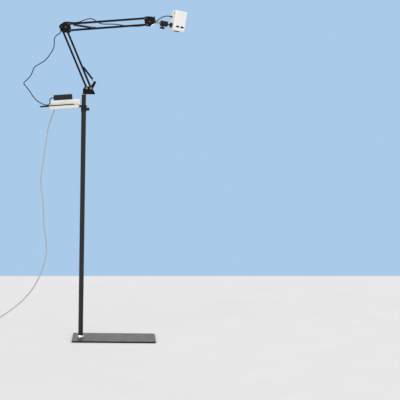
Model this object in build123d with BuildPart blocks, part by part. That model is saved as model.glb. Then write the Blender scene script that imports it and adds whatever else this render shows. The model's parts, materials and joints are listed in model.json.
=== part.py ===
from build123d import *
import math
import os

# An art projector on a floor stand: a steel base plate with a telescopic pole,
# a tray for the power strip on the pole, a sprung parallelogram arm on its top,
# and a small projector that looks down from a ball joint.
# Millimetres, +Z up, +X along the base plate, +Y away from the viewer.
# The origin is on the pole's axis, on the floor.

os.makedirs("parts", exist_ok=True)

# Clearances
RUN = 0.05
GAP = 0.3
SIDE_PLAY = 0.5

# Base plate and its rubber feet
BASE_LEFT = 37.0
BASE_RIGHT = 345.0
BASE_DEPTH = 230.0
BASE_THICK = 6.0
BASE_CORNER = 6.0
FOOT_R = 9.0
FOOT_H = 1.5
FOOT_INSET = 22.0
POLE_PAD_R = 14.0
PLATE_Z = FOOT_H
PLATE_TOP = PLATE_Z + BASE_THICK

# Pole
LOWER_R = 11.0
LOWER_WALL = 0.8
UPPER_R = 9.9
UPPER_WALL = 1.4
LOWER_TOP_Z = 1052.0
UPPER_TOP_Z = 1122.0
TOP_PLUG_H = 42.0
TOP_FLANGE = 2.0
SWIVEL_R = 5.0
FOOT_BOLT_R = 4.0
FOOT_PLUG_H = 30.0
FOOT_COLLAR_R = 17.0
FOOT_COLLAR_H = 9.0

# Collar that locks the pole's height
COLLAR_R = 13.0
COLLAR_Z0 = 1047.0
COLLAR_H = 19.5
KNOB_SCREW_R = 3.0
HEIGHT_KNOB_R = 7.5
HEIGHT_KNOB_L = 9.0
HEIGHT_TRAVEL = 300.0
TUBE_OVERLAP = 62.0

# Tray with its clamp
TRAY_LEFT = -155.0
TRAY_RIGHT = -19.0
TRAY_DEPTH = 92.0
TRAY_H = 14.0
TRAY_WALL = 2.0
TRAY_SAG = 4.9
TRAY_FLOOR_Z = 1064.4
CLAMP_R = 14.5
CLAMP_H = 9.0
FLANGE_T = 3.0
FLANGE_W = 40.0
FLANGE_H = 9.5
MAT_THICK = 2.5
MAT_LEFT = -197.0
MAT_RIGHT = -42.0
MAT_DEPTH = 84.0

# Power strip on the tray, and the power adapter on the strip
STRIP_LEFT = -147.0
STRIP_RIGHT = -13.0
STRIP_DEPTH = 52.0
STRIP_H = 23.0
STRIP_SPLIT = 12.0
SHELL_WALL = 2.0
SOCKET_XS = (-128.0, -98.0, -68.0)
SWITCH_X = -34.0
SWITCH_W = 14.0
SWITCH_D = 12.0
SWITCH_DEEP = 4.0
SWITCH_GAP = 1.0
SWITCH_PIN_R = 1.2
SWITCH_EAR = 3.0
GLAND_X = -127.0
GLAND_R = 6.5
GLAND_L = 26.0
ADAPTER_X = -90.5
ADAPTER_L = 84.0
ADAPTER_D = 40.0
ADAPTER_H = 25.0
BOOT_R = 4.2
BOOT_L = 5.0

# Sprung arm: pivots at rest, rods and cheeks
PIVOT_R = 2.5
ROD = 9.0
ROD_WALL = 1.0
BASE_PIVOT_X = 12.0
BASE_PIVOT_Z = 1154.0
LOWER_SPACING = 20.0
LOWER_LEN = 300.0
LOWER_LEAN = 23.4
UPPER_LEN = 350.0
UPPER_RISE_ANGLE = 5.6
ELBOW_TO_TOP = (34.0, 14.5)
TOP_TO_BOTTOM = (8.0, -28.6)
CHEEK_IN = ROD / 2 + SIDE_PLAY
CHEEK_THICK = 2.0
CHEEK_OUT = CHEEK_IN + CHEEK_THICK
BOLT_HEAD_R = 4.6
BOLT_HEAD_H = 3.0

# Base bracket, elbow and end plates: corners from BASE_A, ELBOW_A and END_T
WEB_T = 3.0
SWIVEL_FLANGE = 2.0
BRACKET_OUTLINE = (
    (-17, -27), (38, -27), (39, -22), (28, -3), (43, 27), (40, 33), (34, 32), (17, 8), (-8, 8), (-17, -6)
)
ELBOW_OUTLINE = ((-7, -3), (-5, 11), (9, 20), (38, 22), (47, -17), (40, -25), (7, -25), (-3, -17))
END_OUTLINE = ((-7, 2), (-3, 7.5), (18, 9), (33, 7), (46, -9), (47, -20), (25, -36), (6, -36), (-1, -30))
END_TO_MID = (20.0, -15.5)
END_TO_TIP = (40.0, -15.5)

# Springs: two beside each arm
SPRING_Y = 12.3
SPRING_R = 3.9
SPRING_WIRE = 0.9
SPRING_TURNS = 24
LOWER_COIL_LEN = 70.0
UPPER_COIL_LEN = 84.0
HORN = (49.0, 1182.0)
LOWER_PIN_AT = 120.0
UPPER_PIN_AT = 117.0
STUD_R = 2.9
STUD_END = SPRING_Y + 3.0
STUD_HEAD_T = 1.2

# Tip link, ball joint and its knobs
TIP_DROP = 8.5
TIP_LINK_R = 4.5
HOUSING_S0 = 28.0
HOUSING_R = 13.0
BALL_S = 58.0
BALL_R = 8.5
NECK_R = 2.8
MOUTH = 5.0
DISC_S = 18.0
DISC_R = 11.0
DISC_T = 7.0
BALL_YAW = 20.0
HEAD_STUD_R = 3.0
HEAD_STUD_L = 7.0

BALL_KNOB_S = 41.0
BALL_KNOB_AT = 17.0
BALL_KNOB_R = 11.5
BALL_KNOB_H = 7.5
LINK_BOSS_R = 8.0
ELBOW_KNOB_R = 10.0
ELBOW_KNOB_L = 10.0
WING_HUB_R = 7.5
WING_HUB_L = 7.0
WING_T = 3.5
WING_OUTLINE = ((-5, -4), (5, -4), (6, 6), (2.5, 20), (-1, 29), (-4, 20), (-6, 6))

# Projector head
HEAD_W = 59.0
HEAD_D = 58.0
HEAD_H = 92.0
HEAD_ROUND = 9.0
HEAD_WALL = 2.0
STUD_BELOW_MID = 23.5
HEAD_EDGE = 5.0
SEAM_Y = -20.0
LENS_R = 15.0
LENS_GLASS_R = 11.5
LENS_L = 22.0
LENS_PROUD = 1.5
LENS_Y = 2.0
BUTTON_Y = -10.4
BUTTON_Z = 33.0
BUTTON_R = 3.5
BUTTON_PROUD = 1.2
SLOT_Y = 4.0
SLOT_Z = 13.0
SLOT_W = 5.0
SLOT_H = 10.0
JACK_Z = 15.5
JACK_R = 4.5
JACK_RIM = 1.1
JACK_DEEP = 8.0
PORT_X = 11.2
PORT_Z = -27.0
PORT_W = 17.0
PORT_H = 8.6
PORT_RIM = 0.8
VENT_Z = 16.0
VENT_PITCH = 4.5
VENT_COUNT = 7
VENT_W = 2.2
VENT_L = 30.0
ENGINE_FRONT = -15.0
ENGINE_INSET = 1.5
ENGINE_H = 24.0
FINS = 8
FIN_H = 12.0
FAN_SIDE = 3.0
FAN_BACK = 1.0
FAN_FROM_JACK = 4.0
FAN_RIM = 2.5
FAN_T = 10.0
FAN_PIN_R = 1.5
FAN_BLADES = 7
BOARD_T = 1.6

# Leads. The mains lead hangs behind the pole to the floor on the left
MAINS_R = 3.1
MAINS_STEP = 27.0
MAINS_ROUTE = (
    (-134, 97, 1062),
    (-146, 104, 1033),
    (-166, 104, 976),
    (-177, 98, 901),
    (-186, 96, 825),
    (-197, 100, 750),
    (-198, 106, 690),
    (-187, 112, 630),
    (-185, 119, 570),
    (-184, 128, 510),
    (-173, 140, 450),
    (-169, 153, 390),
    (-182, 167, 324),
    (-204, 184, 260),
    (-238, 206, 198),
    (-285, 231, 140),
    (-339, 258, 93),
    (-395, 284, 52),
    (-448, 306, 20),
    (-497, 323, 3.1),
)
COIL_CENTRE = (-545.0, 286.0)
COIL_R = 37.0
COIL_TURNS = 3.0
COIL_GAP = 1.3
PLUG_BOOT = 18.0
PLUG_L = 26.0
PLUG_W = 34.0
PIN_APART = 12.7
PIN_L = 16.0

# The adapter's lead: a loop left of the tray, behind the elbow, along the upper arm, over to the head
DC_R = 2.2
DC_BARREL_R = 2.7
DC_PLUG_R = 3.8
DC_PLUG_L = 8.0
LEAD_BEHIND = 21.0
LEAD_STEP = 14.0
DC_LOW_ROUTE = (
    (-154, -4, 1090),
    (-154, -8, 1079),
    (-166, -10, 1071.5),
    (-183, -10, 1076),
    (-202, -8, 1085),
    (-219, -6, 1097),
    (-235, -3, 1117),
    (-250, 0, 1141),
    (-268, 0, 1161),
)
DC_MID_ROUTE = (
    (-268, 0, 1161),
    (-277, 0, 1171),
    (-263, 0, 1183),
    (-244, 0, 1202),
    (-234, 0, 1225),
    (-226, 0, 1247),
    (-200, 0, 1261),
    (-173, 0, 1280),
    (-152, 1, 1310),
    (-137, 3, 1340),
    (-139, 6, 1366),
    (-136, 10, 1384),
    (-123, 15, 1397),
)
ELBOW_WAY = (0.1, 0.1, 0.98)
DC_ARM_ROUTE = (
    (-84, 22, 1455),
    (-58, 17, 1452),
    (-33, 12, 1452),
    (-10, 9, 1461),
    (12, 8, 1470),
    (36, 8, 1471),
    (53, 10, 1457),
    (79, 11, 1447),
    (118, 11, 1449),
    (155, 11, 1447),
    (192, 11, 1441),
    (228, 14, 1441),
)
END_WAY = (0.97, 0.1, 0.22)
DC_HEAD_ROUTE = (
    (318, 22, 1460),
    (334, 21, 1474),
    (353, 18, 1488),
)


def turned(angle, x, z):
    """A vector of the X-Z plane turned upwards by an angle in degrees."""
    a = math.radians(angle)
    return (x * math.cos(a) - z * math.sin(a), x * math.sin(a) + z * math.cos(a))


def added(p, q):
    return (p[0] + q[0], p[1] + q[1])


# Pivots of the arm, as (X, Z)
BASE_A = (BASE_PIVOT_X, BASE_PIVOT_Z)
BASE_B = added(BASE_A, (LOWER_SPACING, 0))
ELBOW_A = added(BASE_A, turned(90 + LOWER_LEAN, LOWER_LEN, 0))
ELBOW_B = added(ELBOW_A, (LOWER_SPACING, 0))
ELBOW_T = added(ELBOW_A, ELBOW_TO_TOP)
ELBOW_L = added(ELBOW_T, TOP_TO_BOTTOM)
END_T = added(ELBOW_T, turned(UPPER_RISE_ANGLE, UPPER_LEN, 0))
END_L = added(END_T, TOP_TO_BOTTOM)
END_MID = added(END_T, END_TO_MID)
TIP = added(END_T, END_TO_TIP)
LOWER_PIN = added(BASE_B, turned(90 + LOWER_LEAN, LOWER_PIN_AT, 0))
UPPER_PIN = added(ELBOW_L, turned(UPPER_RISE_ANGLE, UPPER_PIN_AT, 0))

# Heights of the collar's knob, the tray's ring and the bracket's web
KNOB_Z = LOWER_TOP_Z + KNOB_SCREW_R + 3.5
UPPER_FOOT_Z = LOWER_TOP_Z - HEIGHT_TRAVEL - TUBE_OVERLAP
CLAMP_Z = COLLAR_Z0 + COLLAR_H + GAP
WEB_Z = UPPER_TOP_Z + TOP_FLANGE + GAP + SWIVEL_FLANGE

# The jack's rim stays on the flat of the wall, clear of the corner's rounding
JACK_Y = HEAD_D / 2 - HEAD_ROUND - JACK_R - JACK_RIM - GAP

# The fan fills the head's width beside the jack, and the engine is a little narrower
FAN_W = HEAD_W - 2 * HEAD_WALL - JACK_DEEP - FAN_FROM_JACK - FAN_SIDE
FAN_R = FAN_W / 2 - FAN_RIM
FAN_X = HEAD_W / 2 - HEAD_WALL - FAN_SIDE - FAN_W / 2
FAN_Y = HEAD_D / 2 - HEAD_WALL - FAN_BACK - FAN_W / 2
ENGINE_W = FAN_W - 2 * ENGINE_INSET

# The tray's plane: its origin is under the tray's right end
TRAY_ROOT = (TRAY_RIGHT, 0, TRAY_FLOOR_Z)
TRAY_WAY = Vector(math.cos(math.radians(TRAY_SAG)), 0, math.sin(math.radians(TRAY_SAG)))
TRAY_UP = Vector(-TRAY_WAY.Z, 0, TRAY_WAY.X)
STRIP_SEAT = TRAY_H + MAT_THICK

# The tip's line, from the tip pivot through the ball
TIP_WAY = Vector(math.cos(math.radians(TIP_DROP)), 0, -math.sin(math.radians(TIP_DROP)))
TIP_UP = Vector(-TIP_WAY.Z, 0, TIP_WAY.X)
TIP_SPOT = Vector(TIP[0], 0, TIP[1])
BALL_SPOT = TIP_SPOT + TIP_WAY * BALL_S

# The head's frame: local x along the stud, local z up the head, local y to its back
HEAD_X = TIP_WAY * math.cos(math.radians(BALL_YAW)) + Vector(0, 1, 0) * math.sin(math.radians(BALL_YAW))
HEAD_SPOT = BALL_SPOT + HEAD_X * (DISC_S + DISC_T + GAP + HEAD_W / 2) + TIP_UP * STUD_BELOW_MID
HEAD = Plane(HEAD_SPOT, x_dir=HEAD_X, z_dir=TIP_UP)


def tray_spot(x, up, y=0.0):
    """A point of the tray's stack, x along it as seen from the pole's axis, up from its underside."""
    return Vector(*TRAY_ROOT) + TRAY_WAY * (x - TRAY_RIGHT) + TRAY_UP * up + Vector(0, y, 0)


def gland_plane():
    return Plane(tray_spot(GLAND_X, STRIP_SEAT + STRIP_SPLIT, STRIP_DEPTH / 2), x_dir=TRAY_WAY, z_dir=(0, 1, 0))


def adapter_plane():
    return Plane(tray_spot(ADAPTER_X, STRIP_SEAT + STRIP_H), x_dir=TRAY_WAY, z_dir=TRAY_UP)


def adapter_exit():
    spot = tray_spot(ADAPTER_X - ADAPTER_L / 2, STRIP_SEAT + STRIP_H + ADAPTER_H / 2)
    return Plane(spot, x_dir=(0, 1, 0), z_dir=TRAY_WAY * -1)


def switch_pin(share):
    y = share * (SWITCH_D / 2 + GAP + SWITCH_EAR)
    return tray_spot(SWITCH_X, STRIP_SEAT + STRIP_H - SWITCH_DEEP, y)


def point(p, y=0.0):
    return (p[0], y, p[1])


def side(y):
    """A plane that looks along the arm's pivots: local x is X and local y is Z."""
    return Plane((0, y, 0), x_dir=(1, 0, 0), z_dir=(0, -1, 0))


def save(part, name):
    part.label = name
    export_step(part, f"parts/{name}.step")


def rod_plane(p, q):
    """The plane at pivot p with its local x towards pivot q."""
    return Plane(point(p), x_dir=(q[0] - p[0], 0, q[1] - p[1]), z_dir=(0, -1, 0))


def square_rod(name, p, q, pins=()):
    """A square tube between two pivots, open at its rounded ends, with holes for pressed pins."""
    length = math.dist(p, q)
    with BuildPart() as rod:
        with BuildSketch(rod_plane(p, q)):
            with Locations((length / 2, 0)):
                SlotCenterToCenter(length, ROD)
            with Locations((0, 0), (length, 0)):
                Circle(PIVOT_R + RUN, mode=Mode.SUBTRACT)
        extrude(amount=ROD / 2, both=True)
        with BuildSketch(rod_plane(p, q)):
            with Locations((length / 2, 0)):
                Rectangle(length + 2 * ROD, ROD - 2 * ROD_WALL)
        extrude(amount=ROD / 2 - ROD_WALL, both=True, mode=Mode.SUBTRACT)
        if pins:
            with BuildSketch(rod_plane(p, q)):
                with Locations(*[(along, 0) for along in pins]):
                    Circle(STUD_R)
            extrude(amount=ROD, both=True, mode=Mode.SUBTRACT)
    save(rod.part, name)
    return rod.part


def cheek_pair(outline, rounds, holes):
    """Two equal plates, one each side of the rods, with holes given as (pivot, radius)."""
    with BuildPart() as cheeks:
        for y in (CHEEK_OUT, -CHEEK_IN):
            with BuildSketch(side(y)):
                with BuildLine():
                    Polyline(*outline, close=True)
                make_face()
                fillet(vertices(), rounds)
                for spot, radius in holes:
                    with Locations(spot):
                        Circle(radius, mode=Mode.SUBTRACT)
            extrude(amount=CHEEK_THICK)
    return cheeks.part


def spring_studs(spots):
    """Studs outside both cheeks, each with a head that keeps a spring's hook on."""
    with BuildPart() as studs:
        for spot in spots:
            for y in (STUD_END, -CHEEK_OUT):
                with BuildSketch(side(y)):
                    with Locations(spot):
                        Circle(STUD_R)
                extrude(amount=STUD_END - CHEEK_OUT)
            for y in (STUD_END, STUD_HEAD_T - STUD_END):
                with BuildSketch(side(y)):
                    with Locations(spot):
                        Circle(STUD_R + 1.1)
                extrude(amount=STUD_HEAD_T)
    return studs.part


def pivot_bolts(name, spots, studs=(), knob=()):
    """Bolts across the cheeks. A stud sticks out further each side, with a groove for a spring's hook."""
    with BuildPart() as bolts:
        for spot in spots:
            with BuildSketch(side(CHEEK_OUT)):
                with Locations(spot):
                    Circle(PIVOT_R)
            extrude(amount=2 * CHEEK_OUT)
            with BuildSketch(side(CHEEK_OUT + BOLT_HEAD_H)):
                with Locations(spot):
                    RegularPolygon(BOLT_HEAD_R, 6)
            extrude(amount=BOLT_HEAD_H)
            if spot not in knob:
                with BuildSketch(side(-CHEEK_OUT)):
                    with Locations(spot):
                        Circle(BOLT_HEAD_R)
                extrude(amount=BOLT_HEAD_H * 0.8)
        if studs:
            add(spring_studs(studs))
    save(bolts.part, name)
    return bolts.part


def biarc(p0, t0, p1, t1):
    """Two arcs that join two points and keep both tangents."""
    p0, p1, t0, t1 = Vector(p0), Vector(p1), Vector(t0).normalized(), Vector(t1).normalized()
    v = p1 - p0
    t = t0 + t1
    k = 2 * (1 - t0.dot(t1))
    b = v.dot(t)
    d = v.dot(v) / (2 * b) if k < 1e-9 else (math.sqrt(b * b + k * v.dot(v)) - b) / k
    joint = (p0 + t0 * d + p1 - t1 * d) * 0.5
    middle = (p1 - t1 * d - p0 - t0 * d).normalized()
    first = Edge.make_tangent_arc(p0, t0, joint)
    second = Edge.make_tangent_arc(joint, middle, p1)
    return [first, second]


def least_gap(route, radius, apart):
    """The least distance between two stretches of a tube that are a given length apart along it."""
    count = int(route.length / (radius * 1.5))
    spots = [route.position_at(i / count) for i in range(count + 1)]
    skip = int(apart / (route.length / count)) + 1
    least = min(
        (spots[i] - spots[j]).length for i in range(0, count + 1) for j in range(i + skip, count + 1)
    )
    return least - 2 * radius


def tube_along(edges, radius, start, direction):
    """One unbroken round tube swept along joined edges."""
    route = Wire(edges)
    with BuildPart() as tube:
        with BuildSketch(Plane(start, z_dir=direction)):
            Circle(radius)
        sweep(path=route)
    return tube.part, route


def tension_spring(stud, pin, y, coil_length):
    """A spring between two studs: a hook, a straight lead, the turns, a lead and a hook."""
    frame = Plane(point(stud, y), x_dir=(pin[0] - stud[0], 0, pin[1] - stud[1]), z_dir=(0, -1, 0))
    span = math.dist(stud, pin)
    r = SPRING_R
    lead = (span - coil_length) / 2
    pitch = coil_length / SPRING_TURNS
    rise = pitch / (2 * math.pi)

    def place(x, w, n):
        return frame.from_local_coords(Vector(x, w, n))

    def way(x, w, n):
        return place(x, w, n) - place(0, 0, 0)

    def turn_at(angle):
        x = lead + rise * angle
        spot = place(x, r * math.cos(angle), r * math.sin(angle))
        return spot, way(rise, -r * math.sin(angle), r * math.cos(angle))

    def hook(x, begin, sweep_angle):
        """Points of an arc round a stud, from angle begin in degrees."""
        spots = []
        for share in (0, 0.5, 1):
            a = math.radians(begin + share * sweep_angle)
            spots.append(place(x + r * math.cos(a), r * math.sin(a), 0))
        return spots

    first = hook(0, 340, -250)
    last = hook(span, 90, -250)
    edges = [Edge.make_three_point_arc(*first)]
    quarter = math.pi / 2
    begin_spot, begin_way = turn_at(quarter)
    edges.append(Edge.make_line(first[2], place(lead - r, r, 0)))
    edges += biarc(place(lead - r, r, 0), way(1, 0, 0), begin_spot, begin_way)
    angle = quarter
    stop = 2 * math.pi * SPRING_TURNS - quarter
    while angle < stop - 0.01:
        following = min(angle + math.pi, stop)
        edges += biarc(*turn_at(angle), *turn_at(following))
        angle = following
    end_spot, end_way = turn_at(stop)
    edges += biarc(end_spot, end_way, place(span - lead + r, r, 0), way(1, 0, 0))
    edges.append(Edge.make_line(place(span - lead + r, r, 0), last[0]))
    edges.append(Edge.make_three_point_arc(*last))
    start_way = edges[0].tangent_at(0)
    tube, route = tube_along(edges, SPRING_WIRE, first[0], start_way)
    print("spring of", SPRING_TURNS, "turns, gap between turns", round(pitch - 2 * SPRING_WIRE, 2))
    return tube


def run_radii(points):
    """The largest tangent arc that each corner's two runs allow."""
    radii = []
    for before, here, after in zip(points, points[1:], points[2:]):
        inward = Vector(here) - Vector(before)
        outward = Vector(after) - Vector(here)
        half = math.radians(inward.get_angle(outward)) / 2
        radii.append(0.45 * min(inward.length, outward.length) / math.tan(half))
    return radii


def lead_tube(name, points, radius):
    """A free stretch of a lead: straight runs joined by tangent arcs."""
    radii = run_radii(points)
    with BuildPart() as lead:
        with BuildLine() as line:
            FilletPolyline(*points, radius=radii)
        with BuildSketch(Plane(points[0], z_dir=Vector(points[1]) - Vector(points[0]))):
            Circle(radius)
        sweep()
    length = line.wire().length
    full = math.pi * radius**2 * length
    print(name, "length", round(length), "least arc", round(min(radii), 1), "all", [round(r) for r in radii])
    print(name, "volume over section times length", round(lead.part.volume / full, 4))
    save(lead.part, name)
    return length


def base_and_pole():
    plate_mid = (BASE_RIGHT - BASE_LEFT) / 2
    plate_len = BASE_LEFT + BASE_RIGHT
    with BuildPart() as base_plate:
        with BuildSketch(Plane.XY.offset(PLATE_Z)):
            with Locations((plate_mid, 0)):
                RectangleRounded(plate_len, BASE_DEPTH, BASE_CORNER)
        extrude(amount=BASE_THICK)
        chamfer(base_plate.faces().sort_by(Axis.Z)[-1].edges(), 0.6)
        with Locations(Plane(origin=(0, 0, PLATE_Z), z_dir=(0, 0, -1))):
            CounterSinkHole(radius=FOOT_BOLT_R + GAP, counter_sink_radius=2 * FOOT_BOLT_R + GAP, depth=BASE_THICK)
    save(base_plate.part, "base_plate")

    with BuildPart() as base_feet:
        with BuildSketch():
            for x in (FOOT_INSET - BASE_LEFT, BASE_RIGHT - FOOT_INSET):
                for y in (FOOT_INSET - BASE_DEPTH / 2, BASE_DEPTH / 2 - FOOT_INSET):
                    with Locations((x, y)):
                        Circle(FOOT_R)
            # One more pad covers the bolt's head
            Circle(POLE_PAD_R)
        extrude(amount=FOOT_H)
    save(base_feet.part, "base_feet")

    # Countersunk bolt from below, its head flush with the plate's underside
    head_depth = FOOT_BOLT_R
    bolt_top = PLATE_TOP + FOOT_PLUG_H - 6
    with BuildPart() as foot_bolt:
        with BuildSketch(Plane.XZ):
            with BuildLine():
                Polyline(
                    (0, PLATE_Z),
                    (2 * FOOT_BOLT_R, PLATE_Z),
                    (FOOT_BOLT_R, PLATE_Z + head_depth),
                    (FOOT_BOLT_R, bolt_top - 1),
                    (FOOT_BOLT_R - 1, bolt_top),
                    (0, bolt_top),
                    close=True,
                )
            make_face()
        revolve(axis=Axis.Z)
        with BuildSketch(Plane.XY.offset(PLATE_Z)):
            RegularPolygon(2.6, 6)
        extrude(amount=2.5, mode=Mode.SUBTRACT)
    save(foot_bolt.part, "foot_bolt")

    with BuildPart() as foot_plug:
        with BuildSketch(Plane.XY.offset(PLATE_TOP)):
            Circle(LOWER_R - LOWER_WALL)
            Circle(FOOT_BOLT_R, mode=Mode.SUBTRACT)
        extrude(amount=FOOT_PLUG_H)
        fillet(foot_plug.edges().filter_by(GeomType.CIRCLE).group_by(Axis.Z)[-1].sort_by(SortBy.RADIUS)[-1], 1.5)
    save(foot_plug.part, "foot_plug")

    with BuildPart() as foot_collar:
        with BuildSketch(Plane.XZ):
            with BuildLine():
                Polyline(
                    (LOWER_R, PLATE_TOP),
                    (FOOT_COLLAR_R, PLATE_TOP),
                    (FOOT_COLLAR_R, PLATE_TOP + 1.6),
                    (LOWER_R + 2.6, PLATE_TOP + FOOT_COLLAR_H - 1),
                    (LOWER_R + 1.6, PLATE_TOP + FOOT_COLLAR_H),
                    (LOWER_R, PLATE_TOP + FOOT_COLLAR_H),
                    close=True,
                )
            make_face()
        revolve(axis=Axis.Z)
    save(foot_collar.part, "foot_collar")

    # The lower tube stops inside the collar, whose lip guides the upper tube
    with BuildPart() as pole_lower:
        with BuildSketch(Plane.XY.offset(PLATE_TOP)):
            Circle(LOWER_R)
            Circle(LOWER_R - LOWER_WALL, mode=Mode.SUBTRACT)
        extrude(amount=LOWER_TOP_Z - PLATE_TOP)
    save(pole_lower.part, "pole_lower")

    with BuildPart() as height_collar:
        with BuildSketch(Plane.XY.offset(COLLAR_Z0)):
            Circle(COLLAR_R)
            Circle(LOWER_R, mode=Mode.SUBTRACT)
        extrude(amount=LOWER_TOP_Z - COLLAR_Z0)
        with BuildSketch(Plane.XY.offset(LOWER_TOP_Z)):
            Circle(COLLAR_R)
            Circle(UPPER_R + RUN, mode=Mode.SUBTRACT)
        extrude(amount=COLLAR_Z0 + COLLAR_H - LOWER_TOP_Z)
        fillet(height_collar.edges().filter_by(GeomType.CIRCLE).sort_by(SortBy.RADIUS)[-2:], 1.2)
        with BuildSketch(Plane.YZ.offset(UPPER_R)):
            with Locations((0, KNOB_Z)):
                Circle(KNOB_SCREW_R + 2)
        extrude(amount=COLLAR_R + 2 - UPPER_R)
        with BuildSketch(Plane.XY.offset(COLLAR_Z0)):
            Circle(UPPER_R + RUN)
        extrude(amount=COLLAR_H, mode=Mode.SUBTRACT)
        with BuildSketch(Plane.YZ):
            with Locations((0, KNOB_Z)):
                Circle(KNOB_SCREW_R + RUN)
        extrude(amount=COLLAR_R + 10, mode=Mode.SUBTRACT)
    save(height_collar.part, "height_collar")

    # Knob on its screw: the screw's tip stops just short of the upper tube
    knob_x = COLLAR_R + 2 + GAP
    with BuildPart() as height_knob:
        with BuildSketch(Plane.YZ.offset(UPPER_R + GAP)):
            with Locations((0, KNOB_Z)):
                Circle(KNOB_SCREW_R)
        extrude(amount=knob_x - UPPER_R)
        with BuildSketch(Plane.YZ.offset(knob_x)):
            with Locations((0, KNOB_Z)):
                Circle(HEIGHT_KNOB_R)
                with PolarLocations(HEIGHT_KNOB_R + 0.9, 8):
                    Circle(1.6, mode=Mode.SUBTRACT)
        extrude(amount=HEIGHT_KNOB_L)
        with BuildSketch(Plane.YZ.offset(knob_x + HEIGHT_KNOB_L)):
            with Locations((0, KNOB_Z)):
                Circle(HEIGHT_KNOB_R - 2.2)
        extrude(amount=1.5, taper=30)
    save(height_knob.part, "height_knob")

    with BuildPart() as pole_upper:
        with BuildSketch(Plane.XY.offset(UPPER_FOOT_Z)):
            Circle(UPPER_R)
            Circle(UPPER_R - UPPER_WALL, mode=Mode.SUBTRACT)
        extrude(amount=UPPER_TOP_Z - UPPER_FOOT_Z)
    save(pole_upper.part, "pole_upper")

    with BuildPart() as top_plug:
        with BuildSketch(Plane.XY.offset(UPPER_TOP_Z - TOP_PLUG_H)):
            Circle(UPPER_R - UPPER_WALL)
            Circle(SWIVEL_R + RUN, mode=Mode.SUBTRACT)
        extrude(amount=TOP_PLUG_H)
        with BuildSketch(Plane.XY.offset(UPPER_TOP_Z)):
            Circle(UPPER_R)
            Circle(SWIVEL_R + RUN, mode=Mode.SUBTRACT)
        extrude(amount=TOP_FLANGE)
    save(top_plug.part, "pole_top_plug")


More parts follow.
